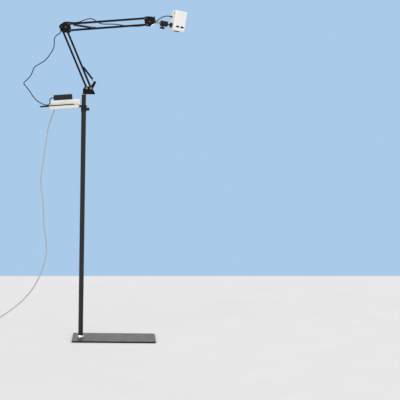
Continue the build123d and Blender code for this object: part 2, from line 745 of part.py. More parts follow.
def tray_group():
    """The tray, mat, strip and adapter share one plane that sags away from the pole."""
    tray_mid = (TRAY_LEFT + TRAY_RIGHT) / 2
    tray_len = TRAY_RIGHT - TRAY_LEFT
    floor_plane = Plane(TRAY_ROOT, x_dir=TRAY_WAY, z_dir=TRAY_UP)

    wall_plane = Plane(TRAY_ROOT, x_dir=(0, 1, 0), z_dir=TRAY_WAY)
    with BuildPart() as clamp:
        with BuildSketch(Plane.XY.offset(CLAMP_Z)):
            Circle(CLAMP_R)
            with Locations((TRAY_RIGHT / 2 - UPPER_R / 2, 0)):
                Rectangle(-TRAY_RIGHT - UPPER_R + FLANGE_T, 16)
            Circle(UPPER_R, mode=Mode.SUBTRACT)
        extrude(amount=CLAMP_H)
        split(bisect_by=wall_plane, keep=Keep.TOP)
        with BuildSketch(wall_plane):
            with Locations((0, TRAY_H / 2)):
                RectangleRounded(FLANGE_W, FLANGE_H, 2)
        extrude(amount=FLANGE_T)
        with BuildSketch(Plane.XZ):
            with Locations((0, CLAMP_Z + CLAMP_H / 2)):
                Circle(2)
        extrude(amount=CLAMP_R + 5, mode=Mode.SUBTRACT)
    save(clamp.part, "tray_clamp")

    with BuildPart() as tray:
        with BuildSketch(floor_plane):
            with Locations((tray_mid - TRAY_RIGHT, 0)):
                RectangleRounded(tray_len, TRAY_DEPTH, 8)
        extrude(amount=TRAY_H)
        with BuildSketch(floor_plane.offset(TRAY_WALL)):
            with Locations((tray_mid - TRAY_RIGHT, 0)):
                RectangleRounded(tray_len - 2 * TRAY_WALL, TRAY_DEPTH - 2 * TRAY_WALL, 6)
        extrude(amount=TRAY_H, mode=Mode.SUBTRACT)
        # Ribs under the mat
        with BuildSketch(floor_plane.offset(TRAY_WALL)):
            with Locations((tray_mid - TRAY_RIGHT, 0)):
                with GridLocations(tray_len / 4, 1, 3, 1):
                    Rectangle(TRAY_WALL, TRAY_DEPTH - 2 * TRAY_WALL)
        extrude(amount=TRAY_H - TRAY_WALL)
    save(tray.part, "tray")

    top = floor_plane.offset(TRAY_H)
    mat_mid = (MAT_LEFT + MAT_RIGHT) / 2 - TRAY_RIGHT
    with BuildPart() as mat:
        with BuildSketch(top):
            with Locations((mat_mid, 0)):
                RectangleRounded(MAT_RIGHT - MAT_LEFT, MAT_DEPTH, 5)
        extrude(amount=MAT_THICK)
    save(mat.part, "tray_mat")

    # Power strip: a base tray and a cover, hollow, with a rocker switch and a gland at the back
    strip = floor_plane.offset(STRIP_SEAT)
    strip_len = STRIP_RIGHT - STRIP_LEFT
    strip_mid = (STRIP_LEFT + STRIP_RIGHT) / 2 - TRAY_RIGHT
    wall = SHELL_WALL
    round_r = 6.0
    with BuildPart() as strip_base:
        with BuildSketch(strip):
            with Locations((strip_mid, 0)):
                RectangleRounded(strip_len, STRIP_DEPTH, round_r)
        extrude(amount=STRIP_SPLIT)
        with BuildSketch(strip.offset(wall)):
            with Locations((strip_mid, 0)):
                RectangleRounded(strip_len - 2 * wall, STRIP_DEPTH - 2 * wall, round_r - wall)
        extrude(amount=STRIP_SPLIT, mode=Mode.SUBTRACT)
        with BuildSketch(gland_plane()):
            Circle(GLAND_R)
        extrude(amount=12, both=True, mode=Mode.SUBTRACT)
    save(strip_base.part, "strip_base")

    with BuildPart() as strip_cover:
        with BuildSketch(strip.offset(STRIP_SPLIT)):
            with Locations((strip_mid, 0)):
                RectangleRounded(strip_len, STRIP_DEPTH, round_r)
        extrude(amount=STRIP_H - STRIP_SPLIT)
        rims = strip_cover.faces().filter_by(strip).sort_by(Axis.Z)[-1].edges()
        fillet(rims, 2.5)
        with BuildSketch(strip.offset(STRIP_SPLIT)):
            with Locations((strip_mid, 0)):
                RectangleRounded(strip_len - 2 * wall, STRIP_DEPTH - 2 * wall, round_r - wall)
        extrude(amount=STRIP_H - STRIP_SPLIT - wall, mode=Mode.SUBTRACT)
        # Socket slots, half under the adapter, and the switch's window
        for x in SOCKET_XS:
            with BuildSketch(strip.offset(STRIP_H - 3 * wall)):
                with Locations((x - TRAY_RIGHT - 6.3, -12), (x - TRAY_RIGHT + 6.3, -12)):
                    Rectangle(2.4, 7)
                with Locations((x - TRAY_RIGHT, -20)):
                    Rectangle(2.4, 6)
            extrude(amount=3 * wall, mode=Mode.SUBTRACT)
        with BuildSketch(strip.offset(STRIP_H - 3 * wall)):
            with Locations((SWITCH_X - TRAY_RIGHT, 0)):
                Rectangle(SWITCH_W + 2 * SWITCH_GAP, SWITCH_D + 2 * GAP)
        extrude(amount=3 * wall, mode=Mode.SUBTRACT)
        with BuildSketch(gland_plane()):
            Circle(GLAND_R)
        extrude(amount=12, both=True, mode=Mode.SUBTRACT)
        # Ears that carry the switch's pin
        with BuildSketch(Plane(switch_pin(-1), x_dir=TRAY_WAY, z_dir=(0, 1, 0))):
            Rectangle(6, 6)
        extrude(amount=SWITCH_EAR)
        with BuildSketch(Plane(switch_pin(1), x_dir=TRAY_WAY, z_dir=(0, -1, 0))):
            Rectangle(6, 6)
        extrude(amount=SWITCH_EAR)
        with BuildSketch(Plane(switch_pin(-1.5), x_dir=TRAY_WAY, z_dir=(0, 1, 0))):
            Circle(SWITCH_PIN_R + RUN)
        extrude(amount=2 * SWITCH_D, mode=Mode.SUBTRACT)
    save(strip_cover.part, "strip_cover")

    # Rocker: a block that tips on its pin, with a raised left half
    with BuildPart() as rocker:
        pivot = Plane(switch_pin(0), x_dir=TRAY_WAY, z_dir=(0, -1, 0))
        with BuildSketch(pivot):
            with BuildLine():
                Polyline(
                    (-SWITCH_W / 2 + 1.2, -1.5),
                    (-SWITCH_W / 2, SWITCH_DEEP + 1.8),
                    (0, SWITCH_DEEP),
                    (SWITCH_W / 2, SWITCH_DEEP + 0.4),
                    (SWITCH_W / 2 - 1.2, -1.5),
                    (0, -3.0),
                    close=True,
                )
            make_face()
        extrude(amount=SWITCH_D / 2, both=True)
        with BuildSketch(pivot):
            Circle(SWITCH_PIN_R)
        extrude(amount=SWITCH_D / 2 + SWITCH_EAR, both=True)
    save(rocker.part, "strip_switch")

    # Strain relief: a flange in the wall and a tapered sleeve outside it
    with BuildPart() as gland:
        with BuildSketch(gland_plane().offset(-wall)):
            Circle(GLAND_R)
        extrude(amount=wall)
        with BuildSketch(gland_plane().offset(-2 * wall)):
            Circle(GLAND_R - 0.5)
        extrude(amount=wall)
        with BuildSketch(gland_plane()):
            Circle(GLAND_R - 0.6)
        with BuildSketch(gland_plane().offset(GLAND_L)):
            Circle(MAINS_R + 1)
        loft()
    save(gland.part, "mains_gland")

    # Power adapter lying on the strip, a base and a cover
    seat = adapter_plane()
    with BuildPart() as adapter_base:
        with BuildSketch(seat):
            RectangleRounded(ADAPTER_L, ADAPTER_D, 5)
        extrude(amount=ADAPTER_H / 2)
        chamfer(adapter_base.faces().sort_by(Axis.Z)[0].edges(), 1.5)
        with BuildSketch(seat.offset(wall)):
            RectangleRounded(ADAPTER_L - 2 * wall, ADAPTER_D - 2 * wall, 3)
        extrude(amount=ADAPTER_H, mode=Mode.SUBTRACT)
        with BuildSketch(adapter_exit()):
            Circle(BOOT_R)
        extrude(amount=12, both=True, mode=Mode.SUBTRACT)
    save(adapter_base.part, "adapter_base")
    with BuildPart() as adapter_cover:
        with BuildSketch(seat.offset(ADAPTER_H / 2)):
            RectangleRounded(ADAPTER_L, ADAPTER_D, 5)
        extrude(amount=ADAPTER_H / 2)
        chamfer(adapter_cover.faces().sort_by(Axis.Z)[-1].edges(), 2.0)
        with BuildSketch(seat.offset(ADAPTER_H / 2)):
            RectangleRounded(ADAPTER_L - 2 * wall, ADAPTER_D - 2 * wall, 3)
        extrude(amount=ADAPTER_H / 2 - wall, mode=Mode.SUBTRACT)
        with BuildSketch(adapter_exit()):
            Circle(BOOT_R)
        extrude(amount=12, both=True, mode=Mode.SUBTRACT)
    save(adapter_cover.part, "adapter_cover")
    with BuildPart() as boot:
        with BuildSketch(adapter_exit().offset(-wall - 1)):
            Circle(BOOT_R)
        extrude(amount=wall + 1)
        with BuildSketch(adapter_exit()):
            Circle(BOOT_R - 0.4)
        with BuildSketch(adapter_exit().offset(BOOT_L)):
            Circle(DC_R + 0.5)
        loft()
    save(boot.part, "adapter_boot")


def base_bracket():
    """A swivelling U of two cheeks on a web, with horns that carry the lower springs."""
    outline = [added(BASE_A, corner) for corner in BRACKET_OUTLINE]
    cheeks = cheek_pair(outline, 2.2, [(BASE_A, PIVOT_R), (BASE_B, PIVOT_R)])
    left = BASE_A[0] + BRACKET_OUTLINE[0][0]
    right = BASE_A[0] + BRACKET_OUTLINE[1][0]
    with BuildPart() as bracket:
        add(cheeks)
        with BuildSketch(Plane.XY.offset(WEB_Z)):
            with Locations(((left + right) / 2 + 1, 0)):
                Rectangle(right - left - 4, 2 * CHEEK_OUT)
            Circle(SWIVEL_R - 1, mode=Mode.SUBTRACT)
        extrude(amount=WEB_T)
        add(spring_studs([HORN]))
    save(bracket.part, "base_bracket")

    with BuildPart() as swivel_pin:
        with BuildSketch(Plane.XY.offset(UPPER_TOP_Z - TOP_PLUG_H + 4)):
            Circle(SWIVEL_R)
        extrude(amount=TOP_PLUG_H - 4 + TOP_FLANGE + GAP)
        with BuildSketch(Plane.XY.offset(WEB_Z - SWIVEL_FLANGE)):
            Circle(UPPER_R)
        extrude(amount=SWIVEL_FLANGE)
        with BuildSketch(Plane.XY.offset(WEB_Z)):
            Circle(SWIVEL_R - 1)
        extrude(amount=WEB_T)
        with BuildSketch(Plane.XY.offset(WEB_Z + WEB_T)):
            RegularPolygon(CHEEK_IN - 0.2, 6)
        extrude(amount=4)
    save(swivel_pin.part, "swivel_pin")
    pivot_bolts("base_pivot_bolts", [BASE_A, BASE_B])


def spring_pin(name, spot):
    """A pin pressed through a rod, with heads that keep the two springs on."""
    with BuildPart() as pin:
        with BuildSketch(side(STUD_END)):
            with Locations(spot):
                Circle(STUD_R)
        extrude(amount=2 * STUD_END)
        for y in (STUD_END, STUD_HEAD_T - STUD_END):
            with BuildSketch(side(y)):
                with Locations(spot):
                    Circle(STUD_R + 1.1)
            extrude(amount=STUD_HEAD_T)
    save(pin.part, name)


def spring_pair(name, stud, pin, coil_length):
    with BuildPart() as springs:
        for y in (-SPRING_Y, SPRING_Y):
            add(tension_spring(stud, pin, y, coil_length))
    save(springs.part, name)


def arm():
    square_rod("lower_rod_left", BASE_A, ELBOW_A)
    square_rod("lower_rod_right", BASE_B, ELBOW_B, [LOWER_PIN_AT])
    square_rod("upper_rod_top", ELBOW_T, END_T)
    square_rod("upper_rod_bottom", ELBOW_L, END_L, [UPPER_PIN_AT])
    spring_pin("lower_spring_pin", LOWER_PIN)
    spring_pin("upper_spring_pin", UPPER_PIN)
    spring_pair("lower_springs", HORN, LOWER_PIN, LOWER_COIL_LEN)
    spring_pair("upper_springs", ELBOW_T, UPPER_PIN, UPPER_COIL_LEN)

    elbow_spots = [ELBOW_A, ELBOW_B, ELBOW_T, ELBOW_L]
    elbow = cheek_pair([added(ELBOW_A, c) for c in ELBOW_OUTLINE], 3.5, [(p, PIVOT_R) for p in elbow_spots])
    save(elbow, "elbow_plates")
    pivot_bolts("elbow_bolts", elbow_spots, studs=[ELBOW_T], knob=[ELBOW_A])

    # Fluted knob on the threaded end of the outer elbow bolt
    knob_y = -CHEEK_OUT - GAP
    with BuildPart() as elbow_knob:
        with BuildSketch(side(knob_y)):
            with Locations(ELBOW_A):
                Circle(ELBOW_KNOB_R * 0.7)
        extrude(amount=2)
        with BuildSketch(side(knob_y - 2)):
            with Locations(ELBOW_A):
                Circle(ELBOW_KNOB_R)
                with PolarLocations(ELBOW_KNOB_R + 1, 10):
                    Circle(2, mode=Mode.SUBTRACT)
        extrude(amount=ELBOW_KNOB_L - 2)
        chamfer(elbow_knob.faces().sort_by(Axis.Y)[0].edges(), 0.8)
    save(elbow_knob.part, "elbow_knob")

    end_spots = [END_T, END_L, END_MID, TIP]
    ends = cheek_pair([added(END_T, c) for c in END_OUTLINE], 3.5, [(p, PIVOT_R) for p in end_spots])
    save(ends, "end_plates")
    pivot_bolts("end_bolts", end_spots, knob=[TIP])

    # Wing knob in front of the tip pivot, its long blade upwards
    with BuildPart() as wing:
        with BuildSketch(side(knob_y)):
            with Locations(TIP):
                Circle(WING_HUB_R)
        extrude(amount=WING_HUB_L)
        with BuildSketch(side(knob_y - 3)):
            with BuildLine():
                Polyline(*[added(TIP, c) for c in WING_OUTLINE], close=True)
            make_face()
            fillet(vertices(), 1.6)
        extrude(amount=WING_T)
    save(wing.part, "wing_knob")


def tip_and_ball():
    across = Plane(TIP_SPOT, x_dir=TIP_WAY, z_dir=(0, -1, 0))
    along = Plane(TIP_SPOT, x_dir=(0, 1, 0), z_dir=TIP_WAY)
    with BuildPart() as link:
        with BuildSketch(across):
            Circle(LINK_BOSS_R)
            with Locations((LINK_BOSS_R / 2 + 3, 0)):
                Rectangle(LINK_BOSS_R + 6, 2 * TIP_LINK_R)
            Circle(PIVOT_R + RUN, mode=Mode.SUBTRACT)
        extrude(amount=ROD / 2, both=True)
        with BuildSketch(along.offset(LINK_BOSS_R + 2)):
            Circle(TIP_LINK_R)
        extrude(amount=HOUSING_S0 - LINK_BOSS_R - 2)
        with BuildSketch(along.offset(HOUSING_S0 - 4)):
            RegularPolygon(TIP_LINK_R + 2.2, 6)
        extrude(amount=4)
    save(link.part, "tip_link")

    housing_end = BALL_S + MOUTH
    with BuildPart() as housing:
        with BuildSketch(along.offset(HOUSING_S0)):
            Circle(HOUSING_R)
        extrude(amount=housing_end - HOUSING_S0)
        rims = housing.edges().filter_by(GeomType.CIRCLE)
        fillet(rims, 1.5)
        with Locations(Location(BALL_SPOT)):
            Sphere(BALL_R + RUN, mode=Mode.SUBTRACT)
        with BuildSketch(Plane(knob_spot(), z_dir=TIP_UP * -1)):
            Circle(KNOB_SCREW_R + RUN)
        extrude(amount=HOUSING_R + 4, mode=Mode.SUBTRACT)
        # A cooling groove round the barrel
        with BuildSketch(along.offset(HOUSING_S0 + 6)):
            Circle(HOUSING_R + 1)
            Circle(HOUSING_R - 0.8, mode=Mode.SUBTRACT)
        extrude(amount=1.5, mode=Mode.SUBTRACT)
    save(housing.part, "ball_housing")

    down = Plane(knob_spot(), x_dir=TIP_WAY, z_dir=TIP_UP * -1)
    with BuildPart() as knob:
        with BuildSketch(down.offset(GAP)):
            Circle(KNOB_SCREW_R)
        extrude(amount=BALL_KNOB_AT)
        with BuildSketch(down.offset(BALL_KNOB_AT)):
            Circle(BALL_KNOB_R)
            with PolarLocations(BALL_KNOB_R + 1, 12):
                Circle(1.9, mode=Mode.SUBTRACT)
        extrude(amount=BALL_KNOB_H)
        with BuildSketch(down.offset(BALL_KNOB_AT - 2)):
            Circle(KNOB_SCREW_R + 2.5)
        extrude(amount=2)
    save(knob.part, "ball_knob")

    stud = Plane(BALL_SPOT, x_dir=TIP_UP, z_dir=HEAD_X)
    with BuildPart() as ball_stud:
        with Locations(Location(BALL_SPOT)):
            Sphere(BALL_R)
        with BuildSketch(stud):
            Circle(NECK_R)
        extrude(amount=DISC_S)
        with BuildSketch(stud.offset(DISC_S)):
            Circle(DISC_R)
            with PolarLocations(DISC_R + 0.7, 24):
                Circle(1.0, mode=Mode.SUBTRACT)
        extrude(amount=DISC_T)
        with BuildSketch(stud.offset(DISC_S + DISC_T)):
            Circle(HEAD_STUD_R)
        extrude(amount=HEAD_STUD_L)
    save(ball_stud.part, "ball_stud")


def knob_spot():
    """Where the ball's lock screw starts, on the housing's axis."""
    return TIP_SPOT + TIP_WAY * BALL_KNOB_S


def head_box(shrink, front, back):
    """The head's rounded block, shrunk all round, between two local y values."""
    with BuildPart() as block:
        with BuildSketch(HEAD.offset(shrink - HEAD_H / 2)):
            RectangleRounded(HEAD_W - 2 * shrink, HEAD_D - 2 * shrink, HEAD_ROUND - shrink)
        extrude(amount=HEAD_H - 2 * shrink)
        ends = block.faces().filter_by(HEAD)
        fillet(ends.edges(), HEAD_EDGE - shrink / 2)
        split(bisect_by=head_plane(0, front, 0, "y"), keep=Keep.TOP)
        split(bisect_by=head_plane(0, back, 0, "y"), keep=Keep.BOTTOM)
    return block.part


def head_plane(x, y, z, towards):
    """A plane at a local spot of the head that faces its local x, y or z, or minus one of them."""
    ways = {"x": HEAD.x_dir, "y": HEAD.y_dir, "z": HEAD.z_dir}
    spot = HEAD.from_local_coords(Vector(x, y, z))
    way = ways[towards[-1]] * (-1 if towards[0] == "-" else 1)
    level = HEAD.z_dir if towards[-1] != "z" else HEAD.x_dir
    return Plane(spot, x_dir=level, z_dir=way)


def head_level(x, y, z):
    """A plane across the head at a local spot, its axes the head's local x and y."""
    return Plane(HEAD.from_local_coords(Vector(x, y, z)), x_dir=HEAD_X, z_dir=TIP_UP)


def head_covers():
    far = HEAD_D
    left = -HEAD_W / 2
    front = -HEAD_D / 2
    with BuildPart() as rear:
        add(head_box(0, SEAM_Y, far))
        add(head_box(HEAD_WALL, SEAM_Y - 1, far), mode=Mode.SUBTRACT)
        # A boss behind the left wall takes the ball's screw
        with BuildSketch(head_plane(left + HEAD_WALL / 2, 0, -STUD_BELOW_MID, "x")):
            Circle(HEAD_STUD_R + 3)
        extrude(amount=HEAD_STUD_L + 1)
        with BuildSketch(head_plane(left - 1, 0, -STUD_BELOW_MID, "x")):
            Circle(HEAD_STUD_R + RUN)
        extrude(amount=HEAD_STUD_L + 1.5, mode=Mode.SUBTRACT)
        # Button, port slot and jack in the left wall
        with BuildSketch(head_plane(left - 1, BUTTON_Y, BUTTON_Z, "x")):
            Circle(BUTTON_R + GAP / 2)
        extrude(amount=HEAD_WALL + 2, mode=Mode.SUBTRACT)
        with BuildSketch(head_plane(left - 1, SLOT_Y, SLOT_Z, "x")):
            RectangleRounded(SLOT_H, SLOT_W, 1)
        extrude(amount=HEAD_WALL + 2, mode=Mode.SUBTRACT)
        with BuildSketch(head_plane(left - 1, JACK_Y, JACK_Z, "x")):
            Circle(JACK_R)
        extrude(amount=HEAD_WALL + 2, mode=Mode.SUBTRACT)
        # Lens opening in the underside
        with BuildSketch(head_plane(0, LENS_Y, -HEAD_H / 2 - 1, "z")):
            Circle(LENS_R + RUN)
        extrude(amount=HEAD_WALL + 2, mode=Mode.SUBTRACT)
        # Air slots in the back and right walls
        with BuildSketch(head_plane(0, HEAD_D / 2 + 1, VENT_Z, "-y")):
            with GridLocations(VENT_PITCH, 1, VENT_COUNT, 1):
                SlotOverall(VENT_L, VENT_W, rotation=0)
        extrude(amount=HEAD_WALL + 2, mode=Mode.SUBTRACT)
        with BuildSketch(head_plane(HEAD_W / 2 + 1, 4, VENT_Z, "-x")):
            with GridLocations(1, VENT_PITCH, 1, VENT_COUNT - 2):
                SlotOverall(VENT_L, VENT_W, rotation=0)
        extrude(amount=HEAD_WALL + 2, mode=Mode.SUBTRACT)
    save(rear.part, "head_rear_case")

    with BuildPart() as cover:
        add(head_box(0, -far, SEAM_Y))
        add(head_box(HEAD_WALL, -far, SEAM_Y + 1), mode=Mode.SUBTRACT)
        for x in (-PORT_X, PORT_X):
            with BuildSketch(head_plane(x, front - 1, PORT_Z, "y")):
                SlotOverall(PORT_W, PORT_H, rotation=90)
            extrude(amount=HEAD_WALL + 2, mode=Mode.SUBTRACT)
    save(cover.part, "head_front_cover")

    # Dark inserts that close the two ports and the slot from inside
    with BuildPart() as ports:
        for x in (-PORT_X, PORT_X):
            with BuildSketch(head_plane(x, front + HEAD_WALL, PORT_Z, "y")):
                SlotOverall(PORT_W + 2 * PORT_RIM, PORT_H + 2 * PORT_RIM, rotation=90)
            extrude(amount=2.5)
            with BuildSketch(head_plane(x, front + 0.8, PORT_Z, "y")):
                SlotOverall(PORT_W, PORT_H, rotation=90)
            extrude(amount=HEAD_WALL - 0.8)
        with BuildSketch(head_plane(left + HEAD_WALL, SLOT_Y, SLOT_Z, "x")):
            RectangleRounded(SLOT_H + 3, SLOT_W + 3, 1)
        extrude(amount=2.5)
    save(ports.part, "head_ports")

    with BuildPart() as jack:
        with BuildSketch(head_plane(left + 0.5, JACK_Y, JACK_Z, "x")):
            Circle(JACK_R)
        extrude(amount=HEAD_WALL - 0.5)
        with BuildSketch(head_plane(left + HEAD_WALL, JACK_Y, JACK_Z, "x")):
            Circle(JACK_R + JACK_RIM)
        extrude(amount=JACK_DEEP)
        with BuildSketch(head_plane(left, JACK_Y, JACK_Z, "x")):
            Circle(DC_BARREL_R)
        extrude(amount=HEAD_WALL + JACK_DEEP - 1, mode=Mode.SUBTRACT)
    save(jack.part, "dc_jack")

    # The button sits on a stem that ends at its switch on the port insert's side of the wall
    with BuildPart() as button:
        with BuildSketch(head_plane(left - BUTTON_PROUD, BUTTON_Y, BUTTON_Z, "x")):
            Circle(BUTTON_R)
        extrude(amount=BUTTON_PROUD + HEAD_WALL + GAP)
        chamfer(button.faces().sort_by(lambda f: f.center().dot(HEAD_X))[0].edges(), 0.4)
        with BuildSketch(head_plane(left + HEAD_WALL + GAP, BUTTON_Y, BUTTON_Z, "x")):
            Circle(BUTTON_R + 1.2)
        extrude(amount=1.2)
    save(button.part, "power_button")


def head_inside():
    bottom = -HEAD_H / 2
    with BuildPart() as barrel:
        with BuildSketch(head_plane(0, LENS_Y, bottom - LENS_PROUD, "z")):
            Circle(LENS_R)
        extrude(amount=LENS_PROUD + LENS_L)
        with BuildSketch(head_plane(0, LENS_Y, bottom + HEAD_WALL + GAP, "z")):
            Circle(LENS_R + 2)
        extrude(amount=2)
        with BuildSketch(head_plane(0, LENS_Y, bottom - LENS_PROUD - 1, "z")):
            Circle(LENS_GLASS_R)
        extrude(amount=LENS_PROUD + LENS_L + 2, mode=Mode.SUBTRACT)
        with BuildSketch(head_plane(0, LENS_Y, bottom - LENS_PROUD, "z")):
            Circle(LENS_GLASS_R + 1.5)
        with BuildSketch(head_plane(0, LENS_Y, bottom - LENS_PROUD + 2, "z")):
            Circle(LENS_GLASS_R)
        loft(mode=Mode.SUBTRACT)
    save(barrel.part, "lens_barrel")

    # Domed front lens seated in the barrel
    dome = 3.0
    dome_r = (LENS_GLASS_R**2 + dome**2) / (2 * dome)
    with BuildPart() as glass:
        with BuildSketch(head_plane(0, LENS_Y, bottom - LENS_PROUD + 3 + dome, "z")):
            Circle(LENS_GLASS_R)
        extrude(amount=4)
        centre = HEAD.from_local_coords(Vector(0, LENS_Y, bottom - LENS_PROUD + 3 + dome_r))
        with BuildPart(mode=Mode.PRIVATE) as cap:
            with Locations(Location(centre)):
                Sphere(dome_r)
            split(bisect_by=head_plane(0, LENS_Y, bottom - LENS_PROUD + 3 + dome, "z"), keep=Keep.BOTTOM)
        add(cap.part)
    save(glass.part, "lens_glass")

    # Light engine against the back wall, its heat sink's fins on top
    back = HEAD_D / 2 - HEAD_WALL
    engine_mid = (ENGINE_FRONT + back) / 2
    engine_d = back - ENGINE_FRONT
    engine_z = bottom + LENS_L + GAP
    with BuildPart() as engine:
        with BuildSketch(head_level(0, engine_mid, engine_z)):
            Rectangle(ENGINE_W, engine_d)
        extrude(amount=ENGINE_H)
        with BuildSketch(head_level(0, engine_mid, engine_z + ENGINE_H)):
            with GridLocations(ENGINE_W / FINS, 1, FINS, 1):
                Rectangle(1.2, engine_d)
        extrude(amount=FIN_H)
        with BuildSketch(head_level(0, LENS_Y, engine_z)):
            Circle(LENS_GLASS_R - 3)
        extrude(amount=ENGINE_H * 0.7, mode=Mode.SUBTRACT)
    save(engine.part, "light_engine")

    # Fan on the fins: a frame with a hub on spokes, and a rotor on the hub's pin
    fan_z = engine_z + ENGINE_H + FIN_H
    with BuildPart() as frame:
        with BuildSketch(head_level(FAN_X, FAN_Y, fan_z)):
            RectangleRounded(FAN_W, FAN_W, 3)
            Circle(FAN_R + 1, mode=Mode.SUBTRACT)
        extrude(amount=FAN_T)
        with BuildSketch(head_level(FAN_X, FAN_Y, fan_z)):
            Circle(5)
            Rectangle(2 * FAN_R + 3, 2.5)
            Rectangle(2.5, 2 * FAN_R + 3)
        extrude(amount=1.5)
        with BuildSketch(head_level(FAN_X, FAN_Y, fan_z)):
            Circle(FAN_PIN_R)
        extrude(amount=FAN_T - 1)
    save(frame.part, "fan_frame")

    with BuildPart() as rotor:
        with BuildSketch(head_level(FAN_X, FAN_Y, fan_z + 1.5 + GAP)):
            Circle(6.5)
            Circle(FAN_PIN_R + RUN, mode=Mode.SUBTRACT)
        extrude(amount=FAN_T - 2.5 - GAP)
        blade_z = fan_z + 1.5 + GAP
        with BuildSketch(head_level(FAN_X, FAN_Y, blade_z)):
            with PolarLocations(0, FAN_BLADES):
                with Locations((FAN_R / 2 + 1, 0)):
                    Rectangle(FAN_R - 3, 1.2, rotation=8)
        extrude(amount=FAN_T - 3.5)
        with BuildSketch(head_level(FAN_X, FAN_Y, blade_z)):
            Circle(FAN_PIN_R + RUN)
        extrude(amount=FAN_T, mode=Mode.SUBTRACT)
    save(rotor.part, "fan_rotor")

    # Board on the engine's front face
    with BuildPart() as board:
        with BuildSketch(head_plane(0, ENGINE_FRONT - BOARD_T, (engine_z + fan_z) / 2, "y")):
            Rectangle(fan_z - engine_z, ENGINE_W + 8)
        extrude(amount=BOARD_T)
        with BuildSketch(head_plane(0, ENGINE_FRONT - BOARD_T - 2, (engine_z + fan_z) / 2, "y")):
            with GridLocations(12, 12, 2, 3):
                Rectangle(7, 7)
        extrude(amount=2)
    save(board.part, "circuit_board")


def plug_and_coil():
    """The lead's last turns, put away as a neat coil on the floor, and the plug beside it."""
    centre = COIL_CENTRE
    low = MAINS_R
    pitch = 2 * MAINS_R + COIL_GAP

    def state(angle):
        """Radius, height and their rates at an angle along the coil, in radians."""
        spiral = COIL_TURNS * math.pi
        wind = pitch / (2 * math.pi)
        inner = COIL_R - wind * spiral
        if angle <= spiral:
            return COIL_R - wind * angle, low, -wind, 0.0
        if angle <= spiral + math.pi:
            share = (angle - spiral) / math.pi
            return inner, low + pitch * share, 0.0, pitch / math.pi
        return inner + wind * (angle - spiral - math.pi), low + pitch, wind, 0.0

    def spot(angle, after=True):
        r, z, dr, dz = state(angle + (1e-9 if after else -1e-9))
        a = math.pi / 2 + angle
        place = (centre[0] + r * math.cos(a), centre[1] + r * math.sin(a), z)
        way = (dr * math.cos(a) - r * math.sin(a), dr * math.sin(a) + r * math.cos(a), dz)
        return place, way

    total = (2 * COIL_TURNS + 1) * math.pi
    half = math.pi / 2
    edges = []
    angle = 0.0
    place, way = spot(0.0)
    way = (-1.0, 0.0, 0.0)
    edges.append(Edge.make_line((place[0] + 2 * MAINS_R, place[1], place[2]), place))
    while angle < total - 0.01:
        after_place, after_way = spot(angle + half, after=False)
        edges += biarc(place, way, after_place, after_way)
        place, way = after_place, after_way
        angle += half
    leave = Vector(way).normalized()
    finish = Vector(place) + leave * 2 * MAINS_R
    edges.append(Edge.make_line(place, finish))
    start = edges[0].position_at(0)
    coil, wire = tube_along(edges, MAINS_R, start, (-1, 0, 0))
    print("coil length", round(wire.length), "least gap", round(least_gap(wire, MAINS_R, 4 * COIL_R), 2))
    save(coil, "mains_coil")

    # Flat plug with two pins, lying on the floor where the coil ends
    plane = Plane(finish, x_dir=(0, 0, 1), z_dir=leave)
    with BuildPart() as plug:
        with BuildSketch(plane):
            Circle(MAINS_R + 1)
        with BuildSketch(plane.offset(PLUG_BOOT)):
            Circle(MAINS_R + 2.6)
        loft()
        with BuildSketch(plane.offset(PLUG_BOOT)):
            RectangleRounded(2 * finish.Z, PLUG_W * 0.7, 4)
        with BuildSketch(plane.offset(PLUG_BOOT + PLUG_L)):
            RectangleRounded(2 * finish.Z, PLUG_W, 5)
        loft()
        with BuildSketch(plane.offset(PLUG_BOOT + PLUG_L)):
            with Locations((0, -PIN_APART / 2), (0, PIN_APART / 2)):
                Rectangle(6.3, 1.6)
        extrude(amount=PIN_L)
    save(plug.part, "mains_plug")
    return wire.length


def dc_plug_plane():
    """The outer end of the adapter lead's plug, in the head's jack."""
    return head_plane(-HEAD_W / 2 - DC_PLUG_L, JACK_Y, JACK_Z, "-x")


def stepped(spot, way, step):
    """A point one step from a spot, so that a lead's end run keeps to the way given."""
    return tuple(Vector(*spot) + Vector(*way).normalized() * step)


